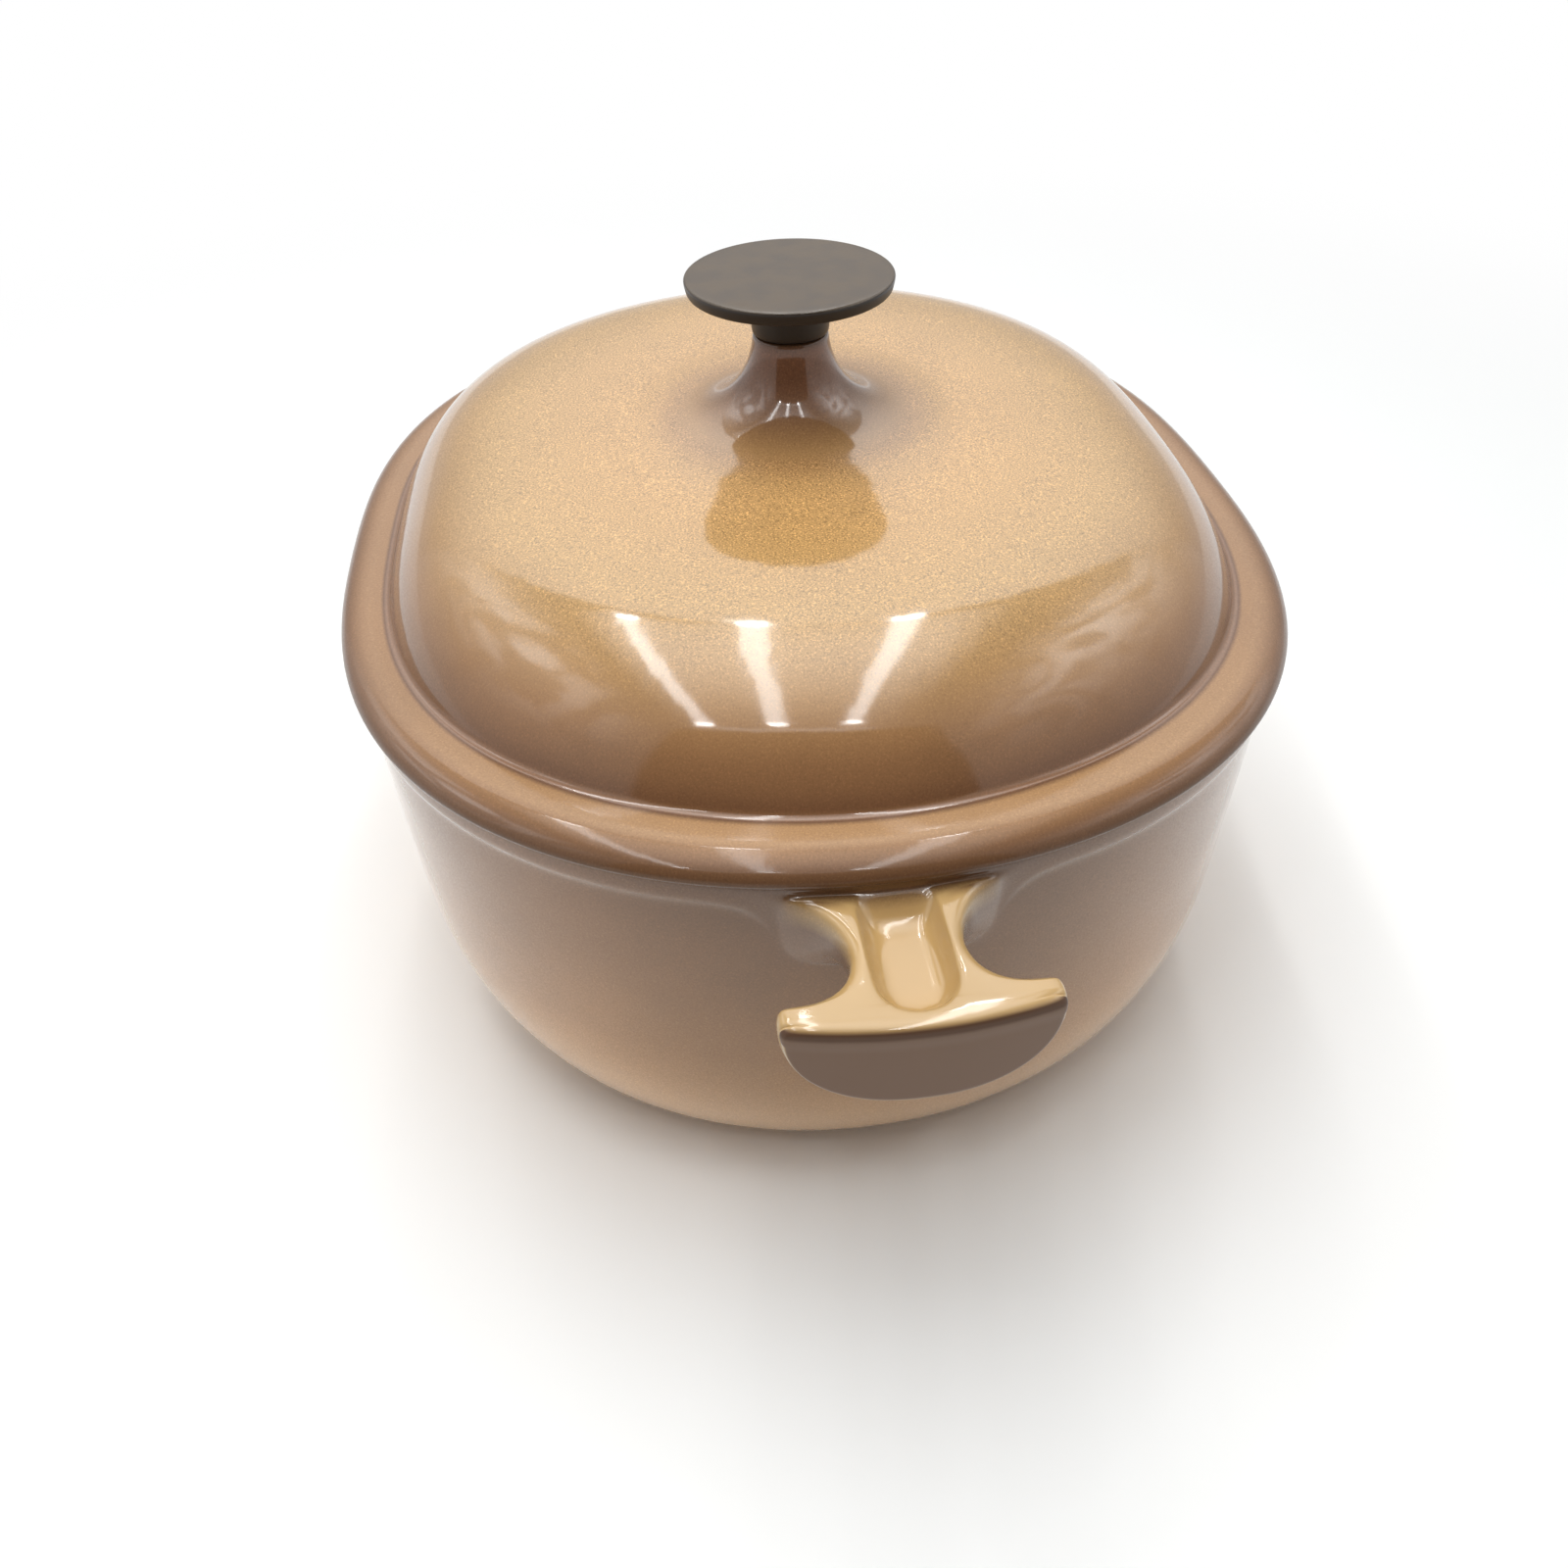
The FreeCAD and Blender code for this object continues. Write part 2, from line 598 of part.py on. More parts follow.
# Screw that holds the knob, up through the boss from inside the lid
SCREW_LENGTH = "(Sizes.screw_head_height + Sizes.washer_thickness + Sizes.boss_web + Sizes.screw_reach)"
knob_screw = turned_body("knob_screw", [
    ("0", "0"),
    ("Sizes.screw_head_radius", "0"),
    ("Sizes.screw_head_radius", "Sizes.screw_head_height"),
    ("Sizes.screw_radius", "Sizes.screw_head_height"),
    ("Sizes.screw_radius", SCREW_LENGTH),
    ("0", SCREW_LENGTH),
], f"{SEAT} - Sizes.boss_web - Sizes.washer_thickness - Sizes.screw_head_height")
round_edge(knob_screw, "Sizes.screw_head_radius", "0", "Sizes.screw_head_round")
slot_outline = knob_screw.newObject("Sketcher::SketchObject", "screw_slot_outline")
slot_plane = next(item for item in knob_screw.Origin.OriginFeatures if item.Role == "XY_Plane")
slot_outline.AttachmentSupport = [(slot_plane, "")]
slot_outline.MapMode = "FlatFace"
slot_reach = 2 * size("screw_head_radius")
slot_half = size("screw_slot_width") / 2
slot_corners = [
    Vector(-slot_reach, -slot_half, 0),
    Vector(slot_reach, -slot_half, 0),
    Vector(slot_reach, slot_half, 0),
    Vector(-slot_reach, slot_half, 0),
]
for index, corner in enumerate(slot_corners):
    slot_outline.addGeometry(Part.LineSegment(corner, slot_corners[(index + 1) % len(slot_corners)]))
for index in range(len(slot_corners)):
    slot_outline.addConstraint(Sketcher.Constraint("Coincident", (index - 1) % 4, 2, index, 1))
for index in (0, 2):
    slot_outline.addConstraint(Sketcher.Constraint("Horizontal", index))
    slot_outline.addConstraint(Sketcher.Constraint("Vertical", index + 1))
slot_outline.addConstraint(Sketcher.Constraint("Symmetric", 0, 1, 2, 1, -1, 1))
slot_length = slot_outline.addConstraint(Sketcher.Constraint("DistanceX", 0, 1, 0, 2, 2 * slot_reach))
slot_outline.setExpression(f"Constraints[{slot_length}]", "4 * Sizes.screw_head_radius")
slot_width = slot_outline.addConstraint(Sketcher.Constraint("DistanceY", 1, 1, 1, 2, 2 * slot_half))
slot_outline.setExpression(f"Constraints[{slot_width}]", "Sizes.screw_slot_width")
doc.recompute()
before_slot = knob_screw.Shape.Volume
slot = knob_screw.newObject("PartDesign::Pocket", "screw_slot")
slot.Profile = slot_outline
slot.Reversed = True
slot.setExpression("Length", "Sizes.screw_slot_depth")
doc.recompute()
if knob_screw.Shape.Volume >= before_slot:
    raise RuntimeError("the screw's slot cuts nothing")

# Every object is sound, and every piece is one valid solid, before anything is written
doc.recompute()
for item in doc.Objects:
    if "Invalid" in item.State or "Error" in item.State:
        raise RuntimeError(f"{item.Label} failed: {item.State}")
pieces = [pot, lid, knob, knob_insert, screw_washer, knob_screw]
for piece in pieces:
    shape = piece.Shape
    if shape.isNull() or not shape.isValid() or len(shape.Solids) != 1:
        raise RuntimeError(f"{piece.Label} is not one valid solid")
os.makedirs(PARTS_FOLDER, exist_ok=True)
for piece in pieces:
    piece.Shape.exportStep(f"{PARTS_FOLDER}/{piece.Label}.step")
    box = piece.Shape.BoundBox
    print(
        f"{piece.Label}: {piece.Shape.Volume / 1000:.2f} cm3,"
        f" x {box.XMin:.2f} {box.XMax:.2f}, y {box.YMin:.2f} {box.YMax:.2f}, z {box.ZMin:.2f} {box.ZMax:.2f}"
    )
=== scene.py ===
"""Oval cocotte: the looks of an enamelled iron pot, its lid and the lid's knob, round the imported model.

Metres, in the model's own frame: +X through the handles, +Z up, the origin under the middle of the base.
Sizes of the pieces are named in millimetres, and turned into metres where a point is placed.
"""
import math

import bmesh
import bpy
from mathutils import Matrix, Vector


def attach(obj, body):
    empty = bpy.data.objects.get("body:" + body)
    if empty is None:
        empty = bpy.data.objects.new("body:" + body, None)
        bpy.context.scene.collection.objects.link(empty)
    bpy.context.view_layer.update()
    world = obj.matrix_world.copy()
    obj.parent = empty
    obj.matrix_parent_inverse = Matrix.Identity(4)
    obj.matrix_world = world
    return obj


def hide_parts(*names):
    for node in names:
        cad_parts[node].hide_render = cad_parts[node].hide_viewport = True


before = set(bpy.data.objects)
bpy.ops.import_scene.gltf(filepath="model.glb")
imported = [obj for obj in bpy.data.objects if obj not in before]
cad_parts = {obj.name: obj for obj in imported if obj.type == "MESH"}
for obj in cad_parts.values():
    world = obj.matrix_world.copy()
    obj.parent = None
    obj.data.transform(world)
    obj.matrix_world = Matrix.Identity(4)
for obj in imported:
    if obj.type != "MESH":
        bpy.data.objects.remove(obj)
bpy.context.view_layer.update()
MM = 0.001

# Studio
# A pale table inside a white light box: a bright curved backdrop behind the pot, a ceiling with three
# long lamps, paler sides and an open, dark front, where the camera looks in from above the near handle.
SENSOR_WIDTH = 36.0
CAMERA_LENS = 29.70
CAMERA_NEAREST = 0.01
CAMERA_PLACE = Vector((302.988, -37.352, 282.79)) * MM
CAMERA_YAW = math.radians(83.987)
CAMERA_PITCH = math.radians(40.782)
CAMERA_ROLL = math.radians(-2.036)

camera_data = bpy.data.cameras.new("camera")
camera_data.lens = CAMERA_LENS
camera_data.sensor_width = SENSOR_WIDTH
camera_data.clip_start = CAMERA_NEAREST
camera = bpy.data.objects.new("camera", camera_data)
bpy.context.scene.collection.objects.link(camera)
turn = (
    Matrix.Rotation(CAMERA_YAW, 4, "Z")
    @ Matrix.Rotation(math.pi / 2 - CAMERA_PITCH, 4, "X")
    @ Matrix.Rotation(CAMERA_ROLL, 4, "Z")
)
camera.matrix_world = Matrix.Translation(CAMERA_PLACE) @ turn
bpy.context.scene.camera = camera
bpy.context.scene.view_settings.view_transform = "Standard"


def node(tree, kind, inputs=None, **settings):
    """A new shader node: its settings, and a value or another node's output for each named input."""
    made = tree.nodes.new(kind)
    for name, value in settings.items():
        setattr(made, name, value)
    for name, value in (inputs or {}).items():
        if isinstance(value, bpy.types.NodeSocket):
            tree.links.new(value, made.inputs[name])
        else:
            made.inputs[name].default_value = value
    return made


def calculate(tree, operation, *values):
    """The output of a Math node: the operation on its values."""
    return node(tree, "ShaderNodeMath", dict(enumerate(values)), operation=operation).outputs[0]


def ramp(tree, value, low, high, start=0.0, end=1.0, smooth=True):
    """Maps value from low..high to start..end, and holds it at the ends."""
    inputs = {"Value": value, "From Min": low, "From Max": high, "To Min": start, "To Max": end}
    kind = "SMOOTHSTEP" if smooth else "LINEAR"
    return node(tree, "ShaderNodeMapRange", inputs, interpolation_type=kind).outputs["Result"]


def mix(tree, share, first, second):
    """A value part of the way from the first to the second."""
    return node(tree, "ShaderNodeMix", {"Factor": share, "A": first, "B": second}).outputs["Result"]


def noise(tree, place, scale, detail=2.0, roughness=0.5, distortion=0.0):
    """A cloudy pattern over a place, about a half all over."""
    inputs = {"Vector": place, "Scale": scale, "Detail": detail, "Roughness": roughness}
    return node(tree, "ShaderNodeTexNoise", inputs | {"Distortion": distortion}).outputs["Fac"]


def hump(tree, value, centre, half_width):
    """One where the value is at the centre, and less and less to both sides."""
    off = calculate(tree, "DIVIDE", calculate(tree, "SUBTRACT", value, centre), half_width)
    square = calculate(tree, "MULTIPLY", off, off)
    return calculate(tree, "EXPONENT", calculate(tree, "MULTIPLY", square, -1.0))


# The box in units of its height above the object: where its walls stand
BOX_TURN = math.radians(8.0)
BOX_HALF_WIDTH = 0.57
BOX_FRONT = 0.69
BACKDROP_HALF_WIDTH = 1.12
BACKDROP_HEIGHT = 1.45
EDGE_SOFTNESS = 0.03

world = bpy.data.worlds.new("light_box")
bpy.context.scene.world = world
world.use_nodes = True
sky = world.node_tree
look = node(sky, "ShaderNodeTexCoord").outputs["Generated"]
turned = node(
    sky, "ShaderNodeVectorRotate", {"Vector": look, "Angle": BOX_TURN}, rotation_type="Z_AXIS"
).outputs["Vector"]
ahead, aside, above = node(sky, "ShaderNodeSeparateXYZ", {"Vector": turned}).outputs
back = calculate(sky, "MULTIPLY", ahead, -1.0)
width = calculate(sky, "ABSOLUTE", aside)
side_reach = calculate(sky, "DIVIDE", width, BOX_HALF_WIDTH)
length_reach = calculate(sky, "DIVIDE", calculate(sky, "ABSOLUTE", ahead), BOX_FRONT)
open_share = calculate(
    sky, "DIVIDE", calculate(sky, "DIVIDE", ahead, BOX_FRONT), calculate(sky, "MAXIMUM", side_reach, above)
)
ceiling_share = calculate(sky, "DIVIDE", above, calculate(sky, "MAXIMUM", side_reach, length_reach))
arch_side = calculate(sky, "POWER", calculate(sky, "DIVIDE", width, BACKDROP_HALF_WIDTH), 2.0)
arch_rise = calculate(sky, "POWER", calculate(sky, "DIVIDE", above, BACKDROP_HEIGHT), 2.0)
arch_share = calculate(
    sky, "DIVIDE", calculate(sky, "SQRT", calculate(sky, "ADD", arch_side, arch_rise)), back
)
inside, outside = 1 - EDGE_SOFTNESS, 1 + EDGE_SOFTNESS
in_ceiling = ramp(sky, ceiling_share, inside, outside)
in_opening = ramp(sky, open_share, inside, outside)
in_arch = calculate(
    sky, "MULTIPLY", ramp(sky, arch_share, inside, outside, 1.0, 0.0), calculate(sky, "LESS_THAN", ahead, 0.0)
)

# How brightly each wall shows in the glaze: the backdrop more and more towards its top, the sides most in
# the middle of each, in folds, and the ceiling round the lamps and along its front edge. A pair is a
# hump's centre and half width or a ramp's two ends, and a row of four has the values at those ends too.
BACKDROP_RISE = (0.15, 1.0)
BACKDROP_LIGHTS = (0.6, 4.0)
SIDE_LIGHT = 0.75
SIDE_GLOW = 3.0
SIDE_GLOW_BACK = (0.25, 0.75)
SIDE_GLOW_RISE = (1.0, 0.45)
FOLD_SCALE = 2.6
FOLD_DETAIL = 3.0
FOLD_DISTORTION = 1.6
FOLD_LEVELS = (0.38, 0.62, 0.35, 1.45)
CEILING_LIGHT = 0.7
CEILING_GLOW = 3.6
CEILING_GLOW_BACK = (0.3, 0.62)
CEILING_GLOW_SIDES = (0.3, 0.5, 1.0, 0.0)
CEILING_MIDDLE = 0.05
FRONT_EDGE_GLOW = 3.0
FRONT_EDGE_BACK = (-0.655, 0.018)
FRONT_EDGE_SIDES = (0.25, 0.4, 1.0, 0.0)
ROOM_LIGHT = 0.1
backdrop_light = ramp(sky, above, *BACKDROP_RISE, *BACKDROP_LIGHTS)
side_glow = calculate(
    sky, "MULTIPLY", hump(sky, calculate(sky, "DIVIDE", back, width), *SIDE_GLOW_BACK),
    hump(sky, calculate(sky, "DIVIDE", above, width), *SIDE_GLOW_RISE),
)
folds = ramp(sky, noise(sky, turned, FOLD_SCALE, FOLD_DETAIL, distortion=FOLD_DISTORTION), *FOLD_LEVELS)
side_glow = calculate(sky, "MULTIPLY", side_glow, folds)
light = calculate(sky, "MULTIPLY_ADD", side_glow, SIDE_GLOW, SIDE_LIGHT)
back_of_ceiling = calculate(sky, "DIVIDE", back, above)
off_middle = calculate(
    sky, "ABSOLUTE", calculate(sky, "ADD", calculate(sky, "DIVIDE", aside, above), CEILING_MIDDLE)
)
ceiling_light = CEILING_LIGHT
for glow, along, sides in (
    (CEILING_GLOW, CEILING_GLOW_BACK, CEILING_GLOW_SIDES),
    (FRONT_EDGE_GLOW, FRONT_EDGE_BACK, FRONT_EDGE_SIDES),
):
    patch = calculate(sky, "MULTIPLY", hump(sky, back_of_ceiling, *along), ramp(sky, off_middle, *sides))
    ceiling_light = calculate(sky, "MULTIPLY_ADD", patch, glow, ceiling_light)
for mask, level in ((in_ceiling, ceiling_light), (in_opening, ROOM_LIGHT), (in_arch, backdrop_light)):
    light = mix(sky, mask, light, level)

# Away from mirror images the box is one soft light with a dark front, and seen straight it is white
SOFT_LIGHT = 0.38
SOFT_ROOM_LIGHT = 0.15
paths = node(sky, "ShaderNodeLightPath").outputs
light = mix(sky, paths["Is Glossy Ray"], mix(sky, in_opening, SOFT_LIGHT, SOFT_ROOM_LIGHT), light)
straight = calculate(sky, "MAXIMUM", paths["Is Camera Ray"], paths["Is Transmission Ray"])
light = mix(sky, straight, light, 1.0)
background = sky.nodes["Background"]
background.inputs["Color"].default_value = (1, 1, 1, 1)
sky.links.new(light, background.inputs["Strength"])

# Each lamp is a tube on the ceiling with a brighter cap at each end: the middle of its length, and its
# turn from the X axis
LAMP_HEIGHT = 1.2
LAMP_LENGTH = 1.33
LAMP_WIDTH = 0.065
LAMP_LIGHT = 10.5
CAP_LENGTH = 0.05
CAP_LIGHT = 40.0
LAMPS = ((0.0, -0.427, -9.0), (0.01, -0.113, -8.0), (0.055, 0.205, -8.0))


def add_lamp(name, middle, degrees, length, radiance, lamp_width=LAMP_WIDTH, height=LAMP_HEIGHT):
    """A strip of light on the ceiling that shines down with an even radiance."""
    data = bpy.data.lights.new(name, "AREA")
    data.shape = "RECTANGLE"
    data.size = length
    data.size_y = lamp_width
    data.energy = radiance * math.pi * length * lamp_width
    lamp = bpy.data.objects.new(name, data)
    bpy.context.scene.collection.objects.link(lamp)
    lamp.location = (*middle, height)
    lamp.rotation_euler = (0, 0, math.radians(degrees))
    lamp.visible_camera = False
    return lamp


# The ceiling's own light, which the glaze mirrors from the world instead
PANEL_MIDDLE = (-0.1, -0.18)
PANEL_TURN = -8.0
PANEL_LENGTH = 0.9
PANEL_WIDTH = 0.7
PANEL_LIGHT = 2.4
PANEL_HEIGHT = 1.25
panel = add_lamp(
    "ceiling_panel", PANEL_MIDDLE, PANEL_TURN, PANEL_LENGTH, PANEL_LIGHT, PANEL_WIDTH, PANEL_HEIGHT
)
panel.visible_glossy = False

for number, (along, across, degrees) in enumerate(LAMPS, start=1):
    add_lamp(f"tube_{number}", (along, across), degrees, LAMP_LENGTH, LAMP_LIGHT)
    for end in (-1, 1):
        reach = end * (LAMP_LENGTH + CAP_LENGTH) / 2
        angle = math.radians(degrees)
        middle = (along + reach * math.cos(angle), across + reach * math.sin(angle))
        add_lamp(f"cap_{number}_{end}", middle, degrees, CAP_LENGTH, CAP_LIGHT)


def shader(name):
    """A new material, its node tree and its Principled shader."""
    material = bpy.data.materials.new(name)
    material.use_nodes = True
    tree = material.node_tree
    return material, tree, tree.nodes["Principled BSDF"]


# The table is pale near the pot, where it holds the shadow, and plain white further out
TABLE_SIZE = 12.0
TABLE_WHITE = (0.93, 0.945, 0.94, 1)
TABLE_ROUGHNESS = 0.7
TABLE_NEAR = 0.24
TABLE_FAR = 0.75
table_mesh = bmesh.new()
bmesh.ops.create_grid(table_mesh, x_segments=1, y_segments=1, size=TABLE_SIZE / 2)
table_data = bpy.data.meshes.new("table")
table_mesh.to_mesh(table_data)
table_mesh.free()
table = bpy.data.objects.new("table", table_data)
bpy.context.scene.collection.objects.link(table)
table_top, tree, principled = shader("table_top")
principled.inputs["Base Color"].default_value = TABLE_WHITE
principled.inputs["Roughness"].default_value = TABLE_ROUGHNESS
place = node(tree, "ShaderNodeTexCoord").outputs["Object"]
distance = node(tree, "ShaderNodeVectorMath", {0: place}, operation="LENGTH").outputs["Value"]
far = ramp(tree, distance, TABLE_NEAR, TABLE_FAR)
white = node(tree, "ShaderNodeEmission", {"Color": (1, 1, 1, 1), "Strength": 1.0}).outputs[0]
paths = node(tree, "ShaderNodeLightPath").outputs
seen = calculate(tree, "MAXIMUM", paths["Is Camera Ray"], paths["Is Glossy Ray"])
seen = calculate(tree, "MAXIMUM", seen, paths["Is Transmission Ray"])
far_seen = calculate(tree, "MULTIPLY", far, seen)
blend = node(tree, "ShaderNodeMixShader", {0: far_seen, 1: principled.outputs[0], 2: white})
tree.links.new(blend.outputs[0], tree.nodes["Material Output"].inputs["Surface"])
table_data.materials.append(table_top)

# Pot
# One iron casting, enamelled inside and out, with a T-shaped lug cast on each end. Its wall is a
# tall oval bowl with a collar under the lid; each lug has a D-shaped face and a hollow for the thumb.
RIM_HALF_LENGTH = 138.0
RIM_HALF_WIDTH = 115.0
RIM_POWER_LONG = 2.6
RIM_POWER_SHORT = 2.08
COLUMNS_BY_HANDLE = 8
COLUMN_STEP = math.radians(1.64)
COLUMNS_TO_SIDE = 15
FINE_STEPS = 600


def oval_point(turn, half_length, half_width, power_long, power_short, level):
    """A point of a superellipse, in millimetres, turned into metres."""
    along = math.copysign(abs(math.cos(turn)) ** (2 / power_long), math.cos(turn))
    across = math.copysign(abs(math.sin(turn)) ** (2 / power_short), math.sin(turn))
    return Vector((half_length * along, half_width * across, level)) * MM


def rim_ring(turns, inset, level):
    """A ring of the rim's family of ovals, moved in by inset."""
    return [
        oval_point(
            turn, RIM_HALF_LENGTH - inset, RIM_HALF_WIDTH - inset, RIM_POWER_LONG, RIM_POWER_SHORT, level
        )
        for turn in turns
    ]


def even_turns(start, count):
    """Turns after start, up to a quarter, whose rim points lie evenly spaced."""
    turns = [start + (math.pi / 2 - start) * i / FINE_STEPS for i in range(FINE_STEPS + 1)]
    ring = rim_ring(turns, 0, 0)
    lengths = [0.0]
    for before, after in zip(ring, ring[1:]):
        lengths.append(lengths[-1] + (after - before).length)
    chosen = []
    for step in range(1, count + 1):
        target = lengths[-1] * step / count
        index = next(i for i, length in enumerate(lengths) if length >= target - 1e-12)
        chosen.append(turns[index])
    return chosen


def all_round(quarter):
    """A full round of turns from those of the first quarter, which starts at 0 and ends at a quarter."""
    half = quarter + [math.pi - turn for turn in reversed(quarter[:-1])]
    return half + [turn + math.pi for turn in half[1:-1]]


def glazed_mesh():
    """An empty mesh whose vertices carry the glaze's colour, and how free of flakes it is."""
    mesh = bmesh.new()
    mesh.verts.layers.float_color.new("glaze")
    mesh.verts.layers.float.new("plain")
    return mesh


WALL_PLAIN = 0.82


def dye(mesh, ring, colours, plain=WALL_PLAIN):
    """Give the ring's vertices their glaze, one each or one for all; a colour's fourth value is the gloss."""
    layer = mesh.verts.layers.float_color["glaze"]
    plain_layer = mesh.verts.layers.float["plain"]
    if not hasattr(colours[0], "__len__"):
        colours = [colours] * len(ring)
    if not hasattr(plain, "__len__"):
        plain = [plain] * len(ring)
    for vertex, colour, amount in zip(ring, colours, plain):
        vertex[layer] = (*colour, 1.0)[:4]
        vertex[plain_layer] = amount


def grow(mesh, ring, places, colours=None, plain=WALL_PLAIN):
    """Extrude a closed ring of vertices and put each new one in its place, in its glaze."""
    edges = [mesh.edges.get((ring[i - 1], ring[i])) for i in range(len(ring))]
    made = bmesh.ops.extrude_edge_only(mesh, edges=edges)["geom"]
    fresh = {item for item in made if isinstance(item, bmesh.types.BMVert)}
    following = []
    for vertex in ring:
        edge = next(edge for edge in vertex.link_edges if edge.other_vert(vertex) in fresh)
        following.append(edge.other_vert(vertex))
    for twin, place in zip(following, places):
        twin.co = place
    if colours:
        dye(mesh, following, colours, plain)
    return following


def first_ring(mesh, places):
    """A flat disc whose rim's vertices stand in their places; returns them in order."""
    made = bmesh.ops.create_circle(mesh, cap_ends=True, segments=len(places), radius=1.0)["verts"]
    ring = sorted(made, key=lambda vertex: math.atan2(vertex.co.y, vertex.co.x) % (2 * math.pi))
    if ring[-1].co.y > -1e-6 and ring[-1].co.x > 0:
        ring = ring[-1:] + ring[:-1]
    for vertex, place in zip(ring, places):
        vertex.co = place
    return ring


SUBDIVISIONS = 2


def finished(name, mesh):
    """The piece's object: normals outward, smooth, and subdivided."""
    bmesh.ops.recalc_face_normals(mesh, faces=mesh.faces)
    data = bpy.data.meshes.new(name)
    mesh.to_mesh(data)
    mesh.free()
    for polygon in data.polygons:
        polygon.use_smooth = True
    piece = bpy.data.objects.new(name, data)
    bpy.context.scene.collection.objects.link(piece)
    subdivision = piece.modifiers.new("round", "SUBSURF")
    subdivision.levels = SUBDIVISIONS
    subdivision.render_levels = SUBDIVISIONS
    return piece


# The glazes: over a caramel ground the wall is sprayed darker towards the rim, by its level; the handles
# are paler and the inside is cream
UMBER = (0.15, 0.072, 0.034)
BEIGE = (0.50, 0.322, 0.130)
# A pale grey-beige painted highlight, laid on the rounded lower edge of each handle's face
PAINTED_EDGE_HIGHLIGHT = (0.60, 0.50, 0.40)
CREAM = (0.62, 0.54, 0.40)
WALL_GLAZE = [
    (0, (0.63, 0.362, 0.163)), (20, (0.62, 0.356, 0.157)), (39, (0.41, 0.222, 0.09)),
    (54, (0.306, 0.158, 0.064)), (81, (0.223, 0.112, 0.046)), (101, (0.178, 0.087, 0.036)),
    (108, (0.168, 0.081, 0.034)), (112, UMBER),
]
SIDE_FROM = 25.0
SIDE_TO = 75.0
SIDE_PALENESS = 0.5
PALEST = 0.64


def held(share):
    """A share, held between none and all."""
    return min(1.0, max(0.0, share))


def mixed(first, second, share):
    """A colour part of the way from the first to the second."""
    return tuple(one + (other - one) * held(share) for one, other in zip(first, second))


def glaze_at(stops, where):
    """The colour at a place along a row of (place, colour) stops."""
    for (start, one), (end, other) in zip(stops, stops[1:]):
        if where <= end:
            return mixed(one, other, (where - start) / (end - start))
    return stops[-1][1]


def wall_glaze(place):
    """The pot's colour at a place in metres: paler along the sides than round the handles."""
    colour = glaze_at(WALL_GLAZE, place.z / MM)
    share = held((abs(place.y) / MM - SIDE_FROM) / (SIDE_TO - SIDE_FROM))
    paler = 1 + SIDE_PALENESS * share * share * (3 - 2 * share)
    paler = min(paler, PALEST / colour[0])
    return tuple(value * paler for value in colour)


# The wall's form, as insets from the rim's oval: a round bottom, a slight taper and a small step out to
# the collar
SEAM_LEVEL = 112.0
WALL_INSET = 2.5
COLLAR_INSET = 1.4
STEP_LOW = 105.4
STEP_HIGH = 106.8
WALL_TAPER = 1.9
ROUND_WIDTH = 31.2
ROUND_HEIGHT = 56.4
ROUND_STEPS = 8
WALL = 4.0
FLOOR = 5.0
BASE_SHARES = (0.12, 0.35, 0.65, 0.9)


def wall_inset_at(level):
    """The inset of the pot's wall or collar at a level between the bottom round and the rim."""
    if level > STEP_LOW:
        share = held((level - STEP_LOW) / (STEP_HIGH - STEP_LOW))
        return WALL_INSET + (COLLAR_INSET - WALL_INSET) * share
    return WALL_INSET + WALL_TAPER * (STEP_LOW - level) / (STEP_LOW - ROUND_HEIGHT)


quarter = [COLUMN_STEP * i for i in range(COLUMNS_BY_HANDLE + 1)]
quarter += even_turns(quarter[-1], COLUMNS_TO_SIDE)
turns = all_round(quarter)
side_inset = WALL_INSET + WALL_TAPER
base_inset = side_inset + ROUND_WIDTH


def flat_ring(share, level):
    """A ring of the base or floor, drawn in towards the middle."""
    return [Vector((p.x * share, p.y * share, p.z)) for p in rim_ring(turns, base_inset, level)]


def round_rows(steps, wall, floor):
    """Insets and levels of the bottom's round, on its outside or a wall's thickness inside it."""
    row = []
    for step in steps:
        angle = math.pi / 2 * step / ROUND_STEPS
        inset = side_inset + wall + (ROUND_WIDTH - wall) * (1 - math.sin(angle))
        row.append((inset, floor + (ROUND_HEIGHT - floor) * (1 - math.cos(angle))))
    return row


# The pot's rows, by level or by inset and level: up the outside, over the rim and down the inside. Each
# handle grows out of the wall between the first and last of its rows; one row keeps the wall's own inset,
# so that the collar starts sharply.
WALL_LEVELS = (66.0, 76.0, 81.5)
HANDLE_ROWS = [86.5, 92.0, 97.5, 102.4, 105.0, 106.1, 107.0, 110.4]
COLLAR_ROW = 105.0
COLLAR_EDGE_ROWS = [(COLLAR_INSET, 111.3), (1.75, 111.85)]
RIM_ROWS = [(2.3, SEAM_LEVEL), (5.3, SEAM_LEVEL), (6.1, 111.8)]
INSIDE_ROWS = [(6.5, 111.1), (6.5, 109.5), (6.9, 100.0), (7.5, 84.0), (8.1, 68.0)]

pot_mesh = glazed_mesh()
rows = [first_ring(pot_mesh, flat_ring(BASE_SHARES[0], 0))]
dye(pot_mesh, rows[0], WALL_GLAZE[0][1])
for share in BASE_SHARES[1:]:
    rows.append(grow(pot_mesh, rows[-1], flat_ring(share, 0), WALL_GLAZE[0][1]))
outer_rows = round_rows(range(ROUND_STEPS + 1), 0, 0)
outer_rows += [(wall_inset_at(level), level) for level in WALL_LEVELS]
handle_start = len(rows) + len(outer_rows)
outer_rows += [(WALL_INSET if level == COLLAR_ROW else wall_inset_at(level), level) for level in HANDLE_ROWS]
for inset, level in outer_rows + COLLAR_EDGE_ROWS:
    places = rim_ring(turns, inset, level)
    rows.append(grow(pot_mesh, rows[-1], places, [wall_glaze(place) for place in places]))
for inset, level in RIM_ROWS:
    rows.append(grow(pot_mesh, rows[-1], rim_ring(turns, inset, level), UMBER))
